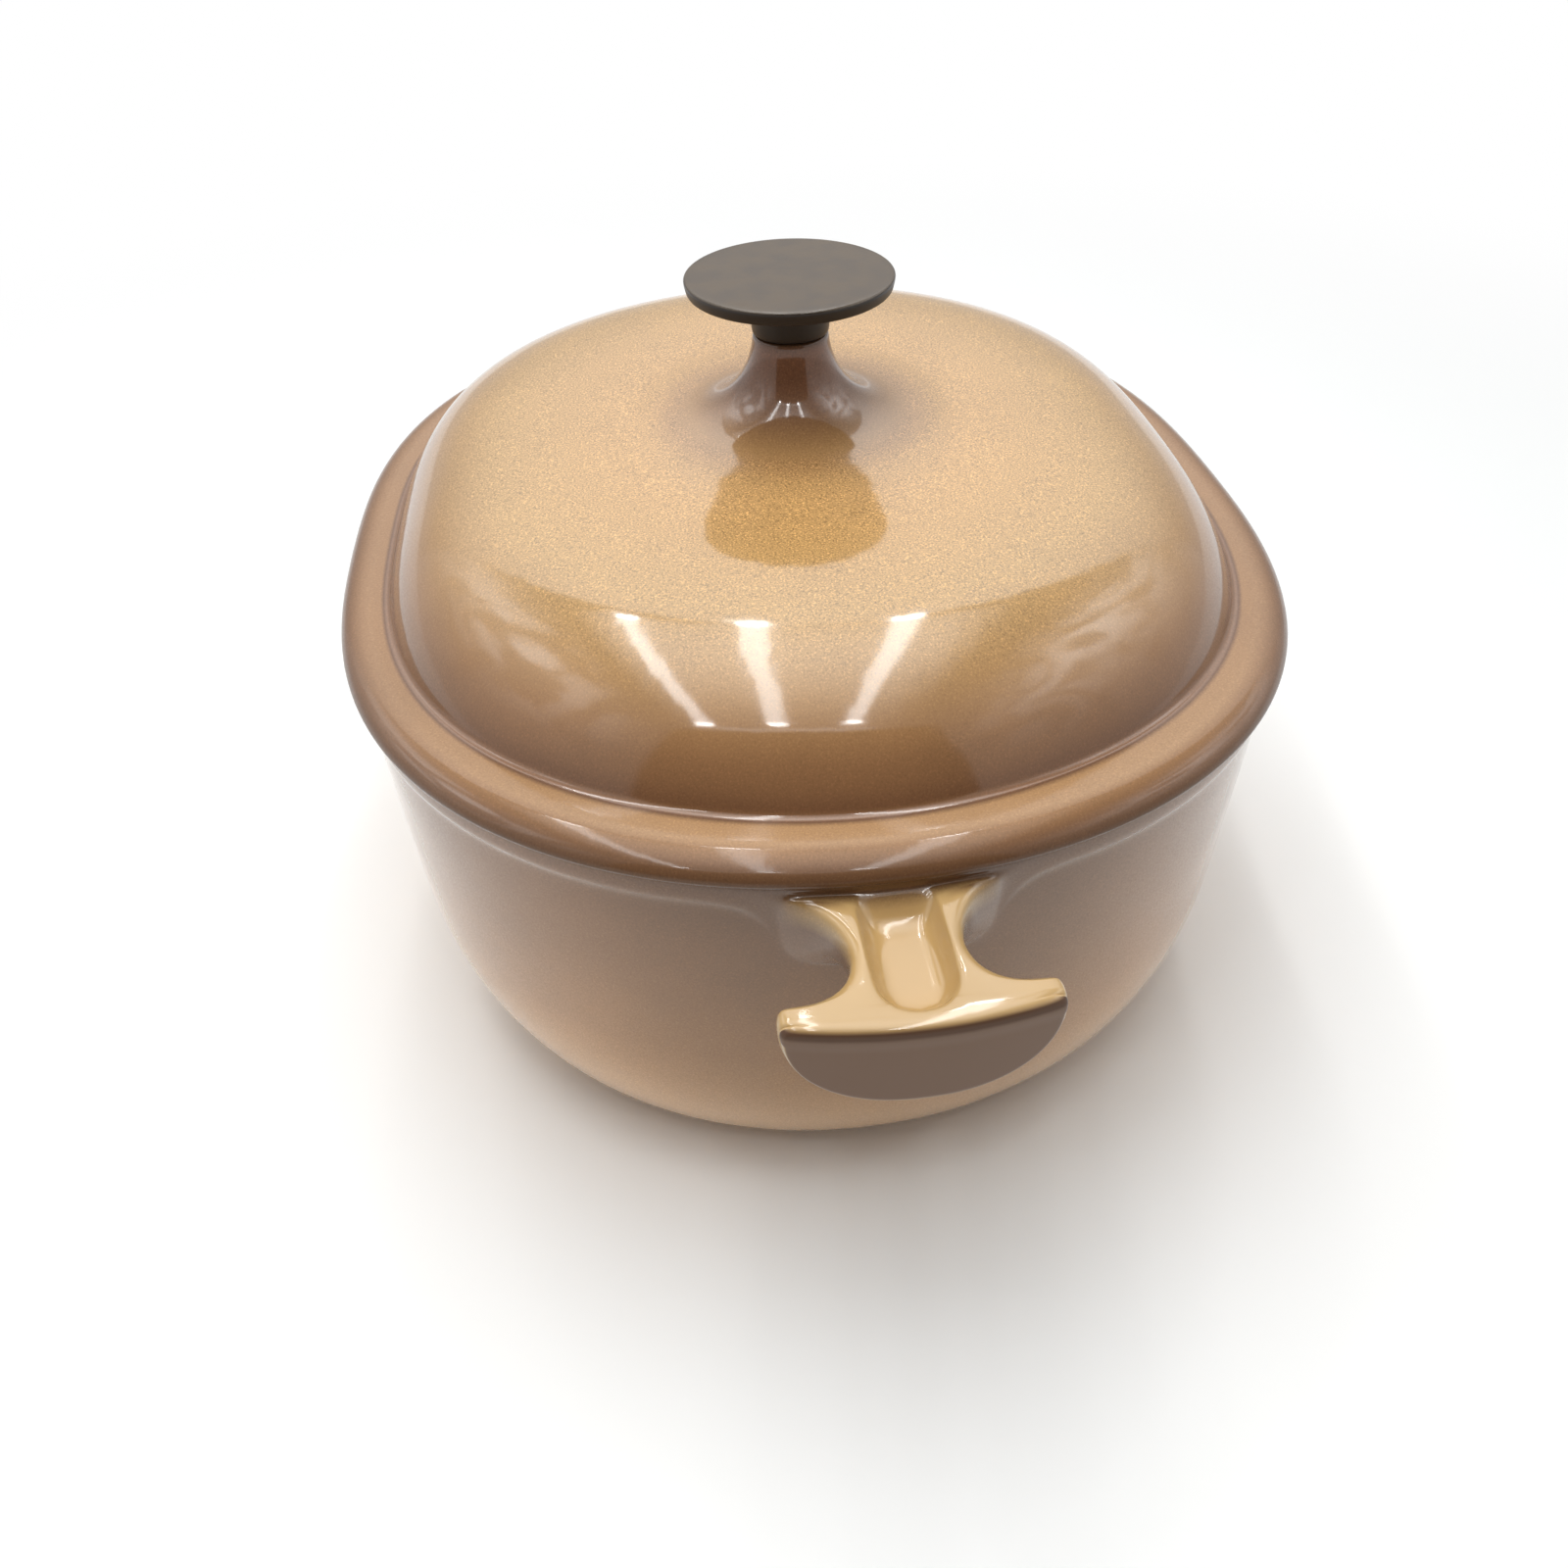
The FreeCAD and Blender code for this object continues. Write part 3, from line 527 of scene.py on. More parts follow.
for inset, level in INSIDE_ROWS + round_rows(range(ROUND_STEPS, -1, -1), WALL, FLOOR):
    rows.append(grow(pot_mesh, rows[-1], rim_ring(turns, inset, level), CREAM))
for share in reversed(BASE_SHARES):
    rows.append(grow(pot_mesh, rows[-1], flat_ring(share, FLOOR), CREAM))
bmesh.ops.contextual_create(pot_mesh, geom=rows[-1])

# The handle: rings that start from a hole in the wall and run out to the D-shaped face
HANDLE_TOP = 109.5
HANDLE_LOW = 89.2
FACE_X = 169.5
FACE_RADIUS = 104.0
FACE_HALF = 25.5
FACE_POWER = 2.4
EDGE_ROUND = 2.2
EDGE_STEPS = ((1.0, 0.0), (0.29, 0.29), (0.0, 1.0))
SCOOP_DEPTH = 4.5
SCOOP_END_X = 157.5
NECK_HALF = 10.6
NECK_THICKNESS = 12.5
ARCH_X = 147.5
ARCH_RADIUS = 12.5
WAIST_X = 151.0
ROOT_RADIUS = 17.0
BAR_RADIUS = 9.0
SIDE_STEPS = len(HANDLE_ROWS) - 1 + COLUMNS_BY_HANDLE
# Lines along the top of the neck: how far from the middle, and how deep in the hollow
SCOOP_LINES = [(0.0, 1.0), (3.2, 1.0), (5.3, 0.92), (6.8, 0.48), (7.6, 0.09), (8.2, 0.0)]
# Rings on the wall: half width, lowest level, the whole ring's lift, distance out from the wall, hollow
FOOT_X = 135.0
FOOT_RINGS = [(22.3, 87.3, 0.5, 0.0, 0.0), (21.4, 88.2, 0.1, 0.35, 0.0), (20.3, 89.4, 0.0, 1.2, 0.1)]
FOOT_POWER = 4.5
# Rings of the neck and the bar behind the hollow's end: X, hollow, degrees along the edge's two arcs from
# the waist, how square the section is
NECK_RINGS = [
    (139.3, 0.5, -50, 4.5), (140.9, 0.92, -38, 4.5), (143.8, 1.0, -26, 4.5), (147.4, 1.0, -12, 4.5),
    (151.0, 1.0, 0, 4.5), (154.2, 1.0, 30, 4.2), (156.3, 1.0, 58, 3.6), (157.5, 1.0, 84, 3.0),
]
# Rings of the bar beyond it: distance beyond, the edge's place and normal, the lowest place, squareness
BAR_RINGS = [
    (3.2, (160.0, 22.3), (-1.0, 0.0), (159.6, 89.9), 2.6),
    (5.3, (160.35, 24.6), (-0.8, 0.6), (160.3, 89.3), 2.4),
    (6.8, (161.6, FACE_HALF), (0.0, 1.0), (161.8, HANDLE_LOW), 2.4),
    (7.6, (163.6, FACE_HALF), (0.0, 1.0), (165.0, HANDLE_LOW), 2.4),
    (8.2, (165.0, 25.3), (0.3, 0.95), (168.3, HANDLE_LOW), 2.4),
]
# Rings of the face: inset from the D's outline, fall of its top edge, distance behind the face
FRONT_RINGS = [
    (0.3, 0.0, EDGE_ROUND), (0.15, 0.25 * EDGE_ROUND, 0.3 * EDGE_ROUND), (0.9, EDGE_ROUND, 0.0),
    (2.2, EDGE_ROUND + 1.3, 0.0),
]
FRONT_WIDTHS = [13.5, 18.5]


def scoop_fall(offset):
    """How much of the hollow's depth is reached at an offset from its middle line."""
    for (inner, deep), (outer, shallow) in zip(SCOOP_LINES, SCOOP_LINES[1:]):
        if offset <= outer + 1e-9:
            return deep + (shallow - deep) * (offset - inner) / (outer - inner)
    return 0.0


def wall_x(across, level):
    """X of the pot's wall or collar, at the end with the handle."""
    inset = wall_inset_at(level)
    share = 1 - (abs(across) / (RIM_HALF_WIDTH - inset)) ** RIM_POWER_SHORT
    return (RIM_HALF_LENGTH - inset) * share ** (1 / RIM_POWER_LONG)


def both_sides(side):
    """The points below the top edge: down at -Y to the middle line, and up again at +Y."""
    return [(x, -y, z) for x, y, z in side] + [side[i] for i in range(len(side) - 2, -1, -1)]


def scoop_line_at(spine_x, offset):
    """Where one of the lines along the neck is at a ring: past the hollow's end they fan out round it."""
    beyond = spine_x - SCOOP_END_X
    if beyond <= 0:
        return spine_x, offset, scoop_fall(offset)
    if beyond >= offset:
        angle = math.pi / 4 * (offset / beyond)
    else:
        angle = math.pi / 2 - math.pi / 4 * (beyond / offset)
    reach = max(beyond, offset)
    return SCOOP_END_X + reach * math.cos(angle), reach * math.sin(angle), scoop_fall(reach)


def section(spine_x, scoop_share, edge, normal, low, power):
    """One ring of the handle in millimetres: over the top from +Y to -Y, then back underneath."""
    top = []
    for offset, _ in SCOOP_LINES:
        x, y, fall = scoop_line_at(spine_x, offset)
        top.append((x, y, HANDLE_TOP - SCOOP_DEPTH * scoop_share * fall))
    for inward, down in EDGE_STEPS:
        x = edge[0] - normal[0] * EDGE_ROUND * inward
        y = edge[1] - normal[1] * EDGE_ROUND * inward
        top.append((x, y, HANDLE_TOP - EDGE_ROUND * down))
    side = []
    side_top = HANDLE_TOP - EDGE_ROUND
    for step in range(1, SIDE_STEPS + 1):
        angle = math.pi / 2 * step / SIDE_STEPS
        across = edge[1] * math.cos(angle) ** (2 / power)
        level = side_top - (side_top - low[1]) * math.sin(angle) ** (2 / power)
        side.append((low[0] + (edge[0] - low[0]) * across / edge[1], across, level))
    over = [top[i] for i in range(len(top) - 1, 0, -1)] + [(x, -y, z) for x, y, z in top]
    return over + both_sides(side)


def arch_level(x):
    """The underside of the neck: an arch between the wall and the face."""
    rise = ARCH_RADIUS ** 2 - (x - ARCH_X) ** 2
    if rise <= 0:
        return HANDLE_LOW
    return max(HANDLE_LOW, HANDLE_TOP - NECK_THICKNESS - ARCH_RADIUS + math.sqrt(rise))


def neck_edge(degrees):
    """The neck's edge seen from above, and its normal: on the arc to the wall, past 0 on that to the bar."""
    radius = ROOT_RADIUS if degrees < 0 else BAR_RADIUS
    angle = math.radians(degrees)
    place = (WAIST_X + radius * math.sin(angle), NECK_HALF + radius * (1 - math.cos(angle)))
    return place, (-math.sin(angle), math.cos(angle))


def front_x(across):
    """X of the face, which is curved like a wide drum."""
    return FACE_X - FACE_RADIUS + math.sqrt(FACE_RADIUS ** 2 - across ** 2)


def front_ring(inset, top_fall, back):
    """A ring on or near the face, with as many points as a section has."""
    half = FACE_HALF - inset
    top = HANDLE_TOP - top_fall
    low = HANDLE_LOW + inset
    widths = [offset for offset, _ in SCOOP_LINES[1:]] + FRONT_WIDTHS + [half]
    over = [(front_x(y) - back, y, top) for y in reversed(widths)] + [(FACE_X - back, 0.0, top)]
    over += [(front_x(y) - back, -y, top) for y in widths]
    side = []
    for step in range(1, SIDE_STEPS + 1):
        angle = math.pi / 2 * step / SIDE_STEPS
        across = half * math.cos(angle) ** (2 / FACE_POWER)
        level = top - (top - low) * math.sin(angle) ** (2 / FACE_POWER)
        side.append((front_x(across) - back, across, level))
    return over + both_sides(side)


def handle_rings():
    """All rings of one handle, from the wall to the face."""
    rings = []
    for half, low, lift, out, scoop in FOOT_RINGS:
        ring = section(FOOT_X, scoop, (FOOT_X, half), (0.0, 1.0), (FOOT_X, low), FOOT_POWER)
        rings.append([(wall_x(y, z + lift) + out, y, z + lift) for _, y, z in ring])
    for spine_x, scoop, degrees, power in NECK_RINGS:
        rings.append(section(spine_x, scoop, *neck_edge(degrees), (spine_x, arch_level(spine_x)), power))
    for beyond, edge, normal, low, power in BAR_RINGS:
        rings.append(section(SCOOP_END_X + beyond, 1.0, edge, normal, low, power))
    return rings + [front_ring(*ring) for ring in FRONT_RINGS]


# The beige covers the handle's top and the whole bar, and fades into the wall's brown round its foot and
# down the neck's flanks
OVER_POINTS = 2 * (len(SCOOP_LINES) + len(EDGE_STEPS)) - 1
BAR_BACK = 161.0
FOOT_FADE = (0.2, 2.8)
FLANK_FADE = (104.0, 107.0)
EDGE_SHARE = 0.75
FLANK_UMBER = 0.3


def beige_share(x, y, z, is_over):
    """How much beige a place of the handle has: all on top and in front, none where it leaves the wall."""
    share = held((x - wall_x(y, z) - FOOT_FADE[0]) / (FOOT_FADE[1] - FOOT_FADE[0]))
    if x < BAR_BACK and not is_over:
        share *= held((z - FLANK_FADE[0]) / (FLANK_FADE[1] - FLANK_FADE[0]))
    return share


def handle_colours(places):
    """The glaze of one of the handle's rings and how plain it is, point by point."""
    colours, plain = [], []
    for index, (x, y, z) in enumerate(places):
        share = beige_share(x, y, z, index < OVER_POINTS)
        if index in (0, OVER_POINTS - 1) and x < BAR_BACK:
            share *= EDGE_SHARE
        wall = wall_glaze(Vector((x, y, z)) * MM)
        if x < BAR_BACK and index >= OVER_POINTS:
            wall = mixed(wall, UMBER, FLANK_UMBER)
        colours.append(mixed(wall, BEIGE, share))
        plain.append(max(share, WALL_PLAIN))
    return colours, plain


def wall_hole(sign):
    """Cut the handle's patch out of the wall at one end; returns the hole's vertices in the rings' order."""
    count = len(turns)
    middle = 0 if sign > 0 else count // 2
    columns = [(middle + step) % count for step in range(COLUMNS_BY_HANDLE, -COLUMNS_BY_HANDLE - 1, -1)]
    low = handle_start
    high = handle_start + len(HANDLE_ROWS) - 1
    boundary = [rows[high][column] for column in columns]
    boundary += [rows[row][columns[-1]] for row in range(high - 1, low, -1)]
    boundary += [rows[low][column] for column in reversed(columns)]
    boundary += [rows[row][columns[0]] for row in range(low + 1, high)]
    patch = []
    for row in range(low, high):
        for one, other in zip(columns, columns[1:]):
            corners = {rows[row][one], rows[row][other], rows[row + 1][one], rows[row + 1][other]}
            patch += [face for face in rows[row][one].link_faces if set(face.verts) == corners]
    bmesh.ops.delete(pot_mesh, geom=patch, context="FACES")
    return boundary


def add_handle(sign):
    """Run a handle's rings out of the wall at one end, and fill the face with a grid."""
    rings = handle_rings()
    highlight_ring = len(rings) - len(FRONT_RINGS) + 1
    ring = wall_hole(sign)
    for number, places in enumerate(rings):
        moved = [Vector((sign * x, sign * y, z)) * MM for x, y, z in places]
        colours, plain = handle_colours(places)
        # The ring round the face's lower edge carries a painted highlight in place of the glaze
        if number == highlight_ring:
            colours[OVER_POINTS:] = [PAINTED_EDGE_HIGHLIGHT] * (len(colours) - OVER_POINTS)
        ring = grow(pot_mesh, ring, moved, colours, plain)
    across = 2 * COLUMNS_BY_HANDLE
    top_row = ring[:across + 1]
    low_row = ring[across + len(HANDLE_ROWS) - 1:2 * across + len(HANDLE_ROWS)]
    edges = [pot_mesh.edges.get(pair) for pair in zip(top_row, top_row[1:])]
    edges += [pot_mesh.edges.get(pair) for pair in zip(low_row, low_row[1:])]
    filled = bmesh.ops.grid_fill(pot_mesh, edges=edges)["faces"]
    inner = list({vertex for face in filled for vertex in face.verts} - set(ring))
    for vertex in inner:
        vertex.co.x = sign * front_x(vertex.co.y / MM) * MM
    dye(pot_mesh, inner, BEIGE, 1.0)


for end in (1, -1):
    add_handle(end)
pot = finished("pot_enamelled", pot_mesh)

# The handles' faces: a satin grey-brown panel that stops short of the rounded edge all round, under a
# painted dark shade line below the beige top edge. Its colours go by height, from its foot to its top edge.
FACE_AND_SHADE_LINE_STOPS = (
    (0.0, (0.185, 0.108, 0.067)), (0.72, (0.19, 0.111, 0.069)), (0.81, (0.205, 0.126, 0.083)),
    # The dark stops at 0.905 and 0.955 of the height are the painted shade line under the top edge
    (0.87, (0.20, 0.122, 0.08)), (0.905, (0.105, 0.056, 0.032)), (0.955, (0.10, 0.052, 0.03)),
    (1.0, (0.28, 0.16, 0.078)),
)
FACE_LOW = 90.0
FACE_HIGH = 109.3
FACE_TOP_FADE = 0.9
FACE_BROW = 1.3
BROW_FROM = 4.0
BROW_TO = 2.0
FACE_ROUGHNESS = 0.42
FACE_SKIN = 0.25
FACE_SKIN_END = 0.04
FACE_COAT = 0.3


def mix_colours(tree, share, first, second):
    """A colour part of the way from the first to the second."""
    return node(tree, "ShaderNodeMix", {0: share, 6: first, 7: second}, data_type="RGBA").outputs[2]


def length_of(tree, one, other):
    """The length of a flat vector with these two parts."""
    squares = [calculate(tree, "MULTIPLY", part, part) for part in (one, other)]
    return calculate(tree, "SQRT", calculate(tree, "ADD", *squares))


def face_finish(tree, place, colour, roughness, coat):
    """Lays the face panel's colour, its painted dark shade line and its satin over the glaze; returns the
    colour, roughness and coat.
    """
    x, y, z = node(tree, "ShaderNodeSeparateXYZ", {"Vector": place}).outputs
    along = calculate(tree, "ABSOLUTE", x)
    radius = length_of(tree, calculate(tree, "SUBTRACT", along, (FACE_X - FACE_RADIUS) * MM), y)
    brow = ramp(tree, z, (FACE_HIGH - BROW_FROM) * MM, (FACE_HIGH - BROW_TO) * MM, 0.0, FACE_BROW * MM)
    radius = calculate(tree, "ADD", radius, brow)
    on_front = ramp(tree, radius, (FACE_RADIUS - FACE_SKIN) * MM, (FACE_RADIUS - FACE_SKIN_END) * MM)
    below = ramp(tree, z, FACE_HIGH * MM, (FACE_HIGH - FACE_TOP_FADE) * MM)
    on_bar = calculate(tree, "GREATER_THAN", along, BAR_BACK * MM)
    mask = calculate(tree, "MULTIPLY", calculate(tree, "MULTIPLY", on_front, below), on_bar)
    rise = ramp(tree, z, FACE_LOW * MM, FACE_HIGH * MM, smooth=False)
    panel = node(tree, "ShaderNodeValToRGB", {"Fac": rise})
    points = panel.color_ramp.elements
    points[0].position, points[1].position = FACE_AND_SHADE_LINE_STOPS[0][0], FACE_AND_SHADE_LINE_STOPS[-1][0]
    points[0].color, points[1].color = (*FACE_AND_SHADE_LINE_STOPS[0][1], 1), (*FACE_AND_SHADE_LINE_STOPS[-1][1], 1)
    for where, shade in FACE_AND_SHADE_LINE_STOPS[1:-1]:
        points.new(where).color = (*shade, 1)
    colour = mix_colours(tree, mask, colour, panel.outputs["Color"])
    return colour, mix(tree, mask, roughness, FACE_ROUGHNESS), mix(tree, mask, coat, FACE_COAT)


# The glaze's grain, shared by the pot and the lid: fine gold and dark flakes in a faintly cloudy ground
GRAIN_SCALE = 2200.0
GRAIN_DETAIL = 2.0
GRAIN_CRISPNESS = 0.7
CLOUD_SCALE = 45.0
CLOUD_DETAIL = 3.0
CLOUD_LEVELS = (0.3, 0.7, 0.96, 1.04)
BRIGHT_FROM = (0.54, 0.70)
BRIGHT_FLAKES = 1.3
DARK_FROM = (0.47, 0.33)
DARK_FLAKES = 0.75
GROUND_ROUGHNESS = (0.3, 0.7, 0.46, 0.34)
grain = bpy.data.node_groups.new("glaze_grain", "ShaderNodeTree")
for name, kind, way in (
    ("Place", "NodeSocketVector", "INPUT"), ("Ground", "NodeSocketColor", "INPUT"),
    ("Flakes", "NodeSocketFloat", "INPUT"), ("Color", "NodeSocketColor", "OUTPUT"),
    ("Roughness", "NodeSocketFloat", "OUTPUT"),
):
    grain.interface.new_socket(name, in_out=way, socket_type=kind)
given = grain.nodes.new("NodeGroupInput").outputs
fine = noise(grain, given["Place"], GRAIN_SCALE, GRAIN_DETAIL, GRAIN_CRISPNESS)
cloud = noise(grain, given["Place"], CLOUD_SCALE, CLOUD_DETAIL)
bright = calculate(grain, "MULTIPLY", ramp(grain, fine, *BRIGHT_FROM), given["Flakes"])
dark = calculate(grain, "MULTIPLY", ramp(grain, fine, *DARK_FROM), given["Flakes"])
lightness = calculate(grain, "MULTIPLY_ADD", bright, BRIGHT_FLAKES, ramp(grain, cloud, *CLOUD_LEVELS))
lightness = calculate(grain, "MULTIPLY_ADD", dark, -DARK_FLAKES, lightness)
tinted = node(grain, "ShaderNodeVectorMath", {0: given["Ground"], "Scale": lightness}, operation="SCALE")
put = grain.nodes.new("NodeGroupOutput").inputs
grain.links.new(tinted.outputs[0], put["Color"])
grain.links.new(ramp(grain, fine, *GROUND_ROUGHNESS), put["Roughness"])

# Over the ground lies a clear coat, slightly wavy, and calmer on the handles than elsewhere
COAT_ROUGHNESS = 0.085
COAT_IOR = 1.5
GROUND_GLINT = 0.12
WAVE_SCALE = 210.0
WAVE_DETAIL = 1.5
WAVE_ROUGHNESS = 0.4
WAVE_HEIGHT = 0.000035
CALM_FROM = 122.0
CALM_TO = 132.0
HANDLE_WAVE = 0.15


def enamel(name, faced=False):
    """Glossy enamel in the colours that the mesh carries, with the handles' own face if it has any."""
    material, tree, principled = shader(name)
    place = node(tree, "ShaderNodeTexCoord").outputs["Object"]
    glaze = node(tree, "ShaderNodeAttribute", attribute_name="glaze").outputs
    plain = node(tree, "ShaderNodeAttribute", attribute_name="plain").outputs["Fac"]
    flakes = calculate(tree, "SUBTRACT", 1.0, plain)
    inputs = {"Place": place, "Ground": glaze["Color"], "Flakes": flakes}
    group = node(tree, "ShaderNodeGroup", inputs, node_tree=grain).outputs
    colour, roughness, coat = group["Color"], group["Roughness"], glaze["Alpha"]
    wave = noise(tree, place, WAVE_SCALE, WAVE_DETAIL, WAVE_ROUGHNESS)
    if faced:
        colour, roughness, coat = face_finish(tree, place, colour, roughness, coat)
        x = node(tree, "ShaderNodeSeparateXYZ", {"Vector": place}).outputs["X"]
        along = calculate(tree, "ABSOLUTE", x)
        calm = ramp(tree, along, CALM_FROM * MM, CALM_TO * MM, 1.0, HANDLE_WAVE)
        wave = calculate(tree, "MULTIPLY", wave, calm)
    bump = node(tree, "ShaderNodeBump", {"Height": wave, "Distance": WAVE_HEIGHT, "Strength": 1.0})
    normal = bump.outputs["Normal"]
    for socket, value in (
        ("Base Color", colour), ("Roughness", roughness), ("Coat Weight", coat), ("Normal", normal),
        ("Coat Normal", normal),
    ):
        tree.links.new(value, principled.inputs[socket])
    principled.inputs["Specular IOR Level"].default_value = GROUND_GLINT
    principled.inputs["Coat Roughness"].default_value = COAT_ROUGHNESS
    principled.inputs["Coat IOR"].default_value = COAT_IOR
    return material


pot.data.materials.append(enamel("pot_enamel", faced=True))
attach(pot, "pot_body")
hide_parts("pot")

# Lid
# One iron casting, enamelled like the pot: a rolled bead, a flat band, a flat-topped dome and, in its
# middle, a flared boss that carries the knob. A lip underneath drops inside the pot's mouth.
LID_COLUMNS = 84
DOME_HALF_LENGTH = 123.0
DOME_HALF_WIDTH = 103.2
DOME_FOOT = 115.7
DOME_RISE = 26.3
DOME_TOP = DOME_FOOT + DOME_RISE
DOME_FULLNESS = 8.5
DOME_SHOULDER = 1.12
TOP_POWERS = (2.0, 2.1)
FOOT_POWERS = (2.72, 1.94)
DOME_SHARES = [0.38, 0.48, 0.57, 0.65, 0.72, 0.78, 0.83, 0.873, 0.908, 0.936, 0.957, 0.973]
INNER_SHARES = [0.985, 0.957, 0.908, 0.83, 0.72, 0.57, 0.38]
LID_WALL = 4.0
BOSS_RADIUS = 9.2
BOSS_FLARE = 20.7
BOSS_FALL = 19.8
BOSS_DEGREES = (7, 18, 30, 42, 54, 66, 78, 90)
SKIRT_WIDTH = 6.0
SKIRT_RISE = 0.6
SKIRT_BLEND = 0.35
KNOB_SEAT = 162.7
HOLE_RADIUS = 3.3
# Radius and level of the seat's rows, and of those up the boss's bore to the hole
SEAT_ROWS = [(HOLE_RADIUS, KNOB_SEAT), (6.0, KNOB_SEAT), (8.7, KNOB_SEAT), (BOSS_RADIUS, KNOB_SEAT - 0.4)]
BORE_ROWS = [
    (16.0, DOME_TOP - LID_WALL), (8.2, DOME_TOP - LID_WALL), (7.1, DOME_TOP - 3.2), (7.0, DOME_TOP - 1.0),
    (7.0, 155.6), (6.4, 156.7), (HOLE_RADIUS, 156.7),
]
# The fillet at the dome's foot: how much wider than the dome, and how high above its foot
FILLET_ROWS = [(-1.3, 3.2), (-0.75, 1.9), (-0.3, 1.25), (0.5, 0.85)]
BAND_FOOT = (1.2, 0.9)
# Insets from the rim's oval and levels: the band's outer edge, the roll, and the underside with its lip
BAND_EDGE = (7.4, 117.15)
BAND_SHARES = (0.2, 0.55, 1.0)
ROLL_ROWS = [(5.6, 117.05), (3.9, 116.7), (2.3, 116.05), (1.0, 115.1), (0.25, 113.95), (0.0, 113.1)]
SEAM_ROWS = [(0.3, 112.35), (0.9, 112.02), (1.8, SEAM_LEVEL), (6.9, SEAM_LEVEL)]
LIP_ROWS = [
    (7.45, 111.75), (7.5, 111.0), (7.55, 109.7), (8.1, 109.0), (10.9, 109.0), (11.45, 109.7), (11.55, 111.2),
]
# The inside's foot: how much wider than the dome's, and its level
INNER_FOOT = (-3.4, 111.8)
INNER_BLEND = 0.3

# The lid's colours: caramel on top, darker towards the dome's foot and up the boss. The dome's go by the
# share of its size, the roll's by the inset, and a fourth value is the gloss.
DOME_GLAZE = [
    (0.0, (0.40, 0.222, 0.088)), (0.28, (0.425, 0.247, 0.095)), (0.34, (0.495, 0.286, 0.108)),
    (0.45, (0.49, 0.284, 0.105)), (0.72, (0.44, 0.262, 0.091)), (0.82, (0.395, 0.228, 0.081)),
    (0.88, (0.365, 0.2, 0.072)), (0.93, (0.31, 0.158, 0.062)), (0.96, (0.25, 0.122, 0.05)),
    (1.0, (0.20, 0.094, 0.04)),
]
BOSS_GLAZE = (0.26, 0.118, 0.055)
BOSS_FADE = (36.0, 78.0)
SKIRT_SHARE = 0.32
BAND = (0.29, 0.155, 0.065, 0.6)
BAND_END = (0.36, 0.202, 0.087, 0.65)
BAND_END_FROM = 70.0
BAND_END_TO = 120.0
FOOT_LINE = (0.13, 0.062, 0.03, 0.5)
ROLL = [
    (0.0, (0.13, 0.062, 0.028, 0.8)), (1.0, (0.145, 0.069, 0.031, 0.8)), (2.3, (0.172, 0.082, 0.035, 0.7)),
    (3.9, (0.218, 0.108, 0.044, 0.6)), (5.6, (0.27, 0.14, 0.058, 0.6)), (8.0, BAND),
]
ROLL_CALM = 0.45
ROLL_CALM_FROM = 100.0
ROLL_CALM_TO = 125.0
TOP_PLAIN = 0.3
BOSS_PLAIN = 0.75
BOSS_PLAIN_RISE = 1.0
FLAKES_FROM = 133.0
FLAKES_TO = 140.5
lid_turns = [2 * math.pi * i / LID_COLUMNS for i in range(LID_COLUMNS)]


def circle_ring(turns, radius, level):
    """A ring of points round the Z axis."""
    return [oval_point(turn, radius, radius, 2, 2, level) for turn in turns]


def dome_ring(share, grow_by, level):
    """A ring of the dome at a share of its foot's size, wider by grow_by."""
    powers = [top + (foot - top) * share for top, foot in zip(TOP_POWERS, FOOT_POWERS)]
    half_length = (DOME_HALF_LENGTH + grow_by) * share
    half_width = (DOME_HALF_WIDTH + grow_by) * share
    return [oval_point(turn, half_length, half_width, *powers, level) for turn in lid_turns]


def dome_level(share):
    """The level of the dome's outside at a share of its foot's size."""
    return DOME_FOOT + DOME_RISE * (1 - share ** DOME_FULLNESS) ** (1 / DOME_SHOULDER)


def between(first, second, share):
    """A ring part of the way from one ring to another."""
    return [one.lerp(other, share) for one, other in zip(first, second)]


def lid_plain(level):
    """How free of flakes the lid is at a level: they show on the dome's top, and less and less below."""
    if level > DOME_TOP + BOSS_PLAIN_RISE:
        return BOSS_PLAIN
    return WALL_PLAIN - (WALL_PLAIN - TOP_PLAIN) * held((level - FLAKES_FROM) / (FLAKES_TO - FLAKES_FROM))


def band_glaze(place):
    """The band round the dome's foot: paler at the two ends, over the handles."""
    return mixed(BAND, BAND_END, (abs(place.x) / MM - BAND_END_FROM) / (BAND_END_TO - BAND_END_FROM))


def roll_glaze(place, inset):
    """The flange's roll: the same colours all round, but less glossy at the two ends."""
    colour = glaze_at(ROLL, inset)
    share = held((abs(place.x) / MM - ROLL_CALM_FROM) / (ROLL_CALM_TO - ROLL_CALM_FROM))
    return (*colour[:3], colour[3] * (1 - ROLL_CALM * share))


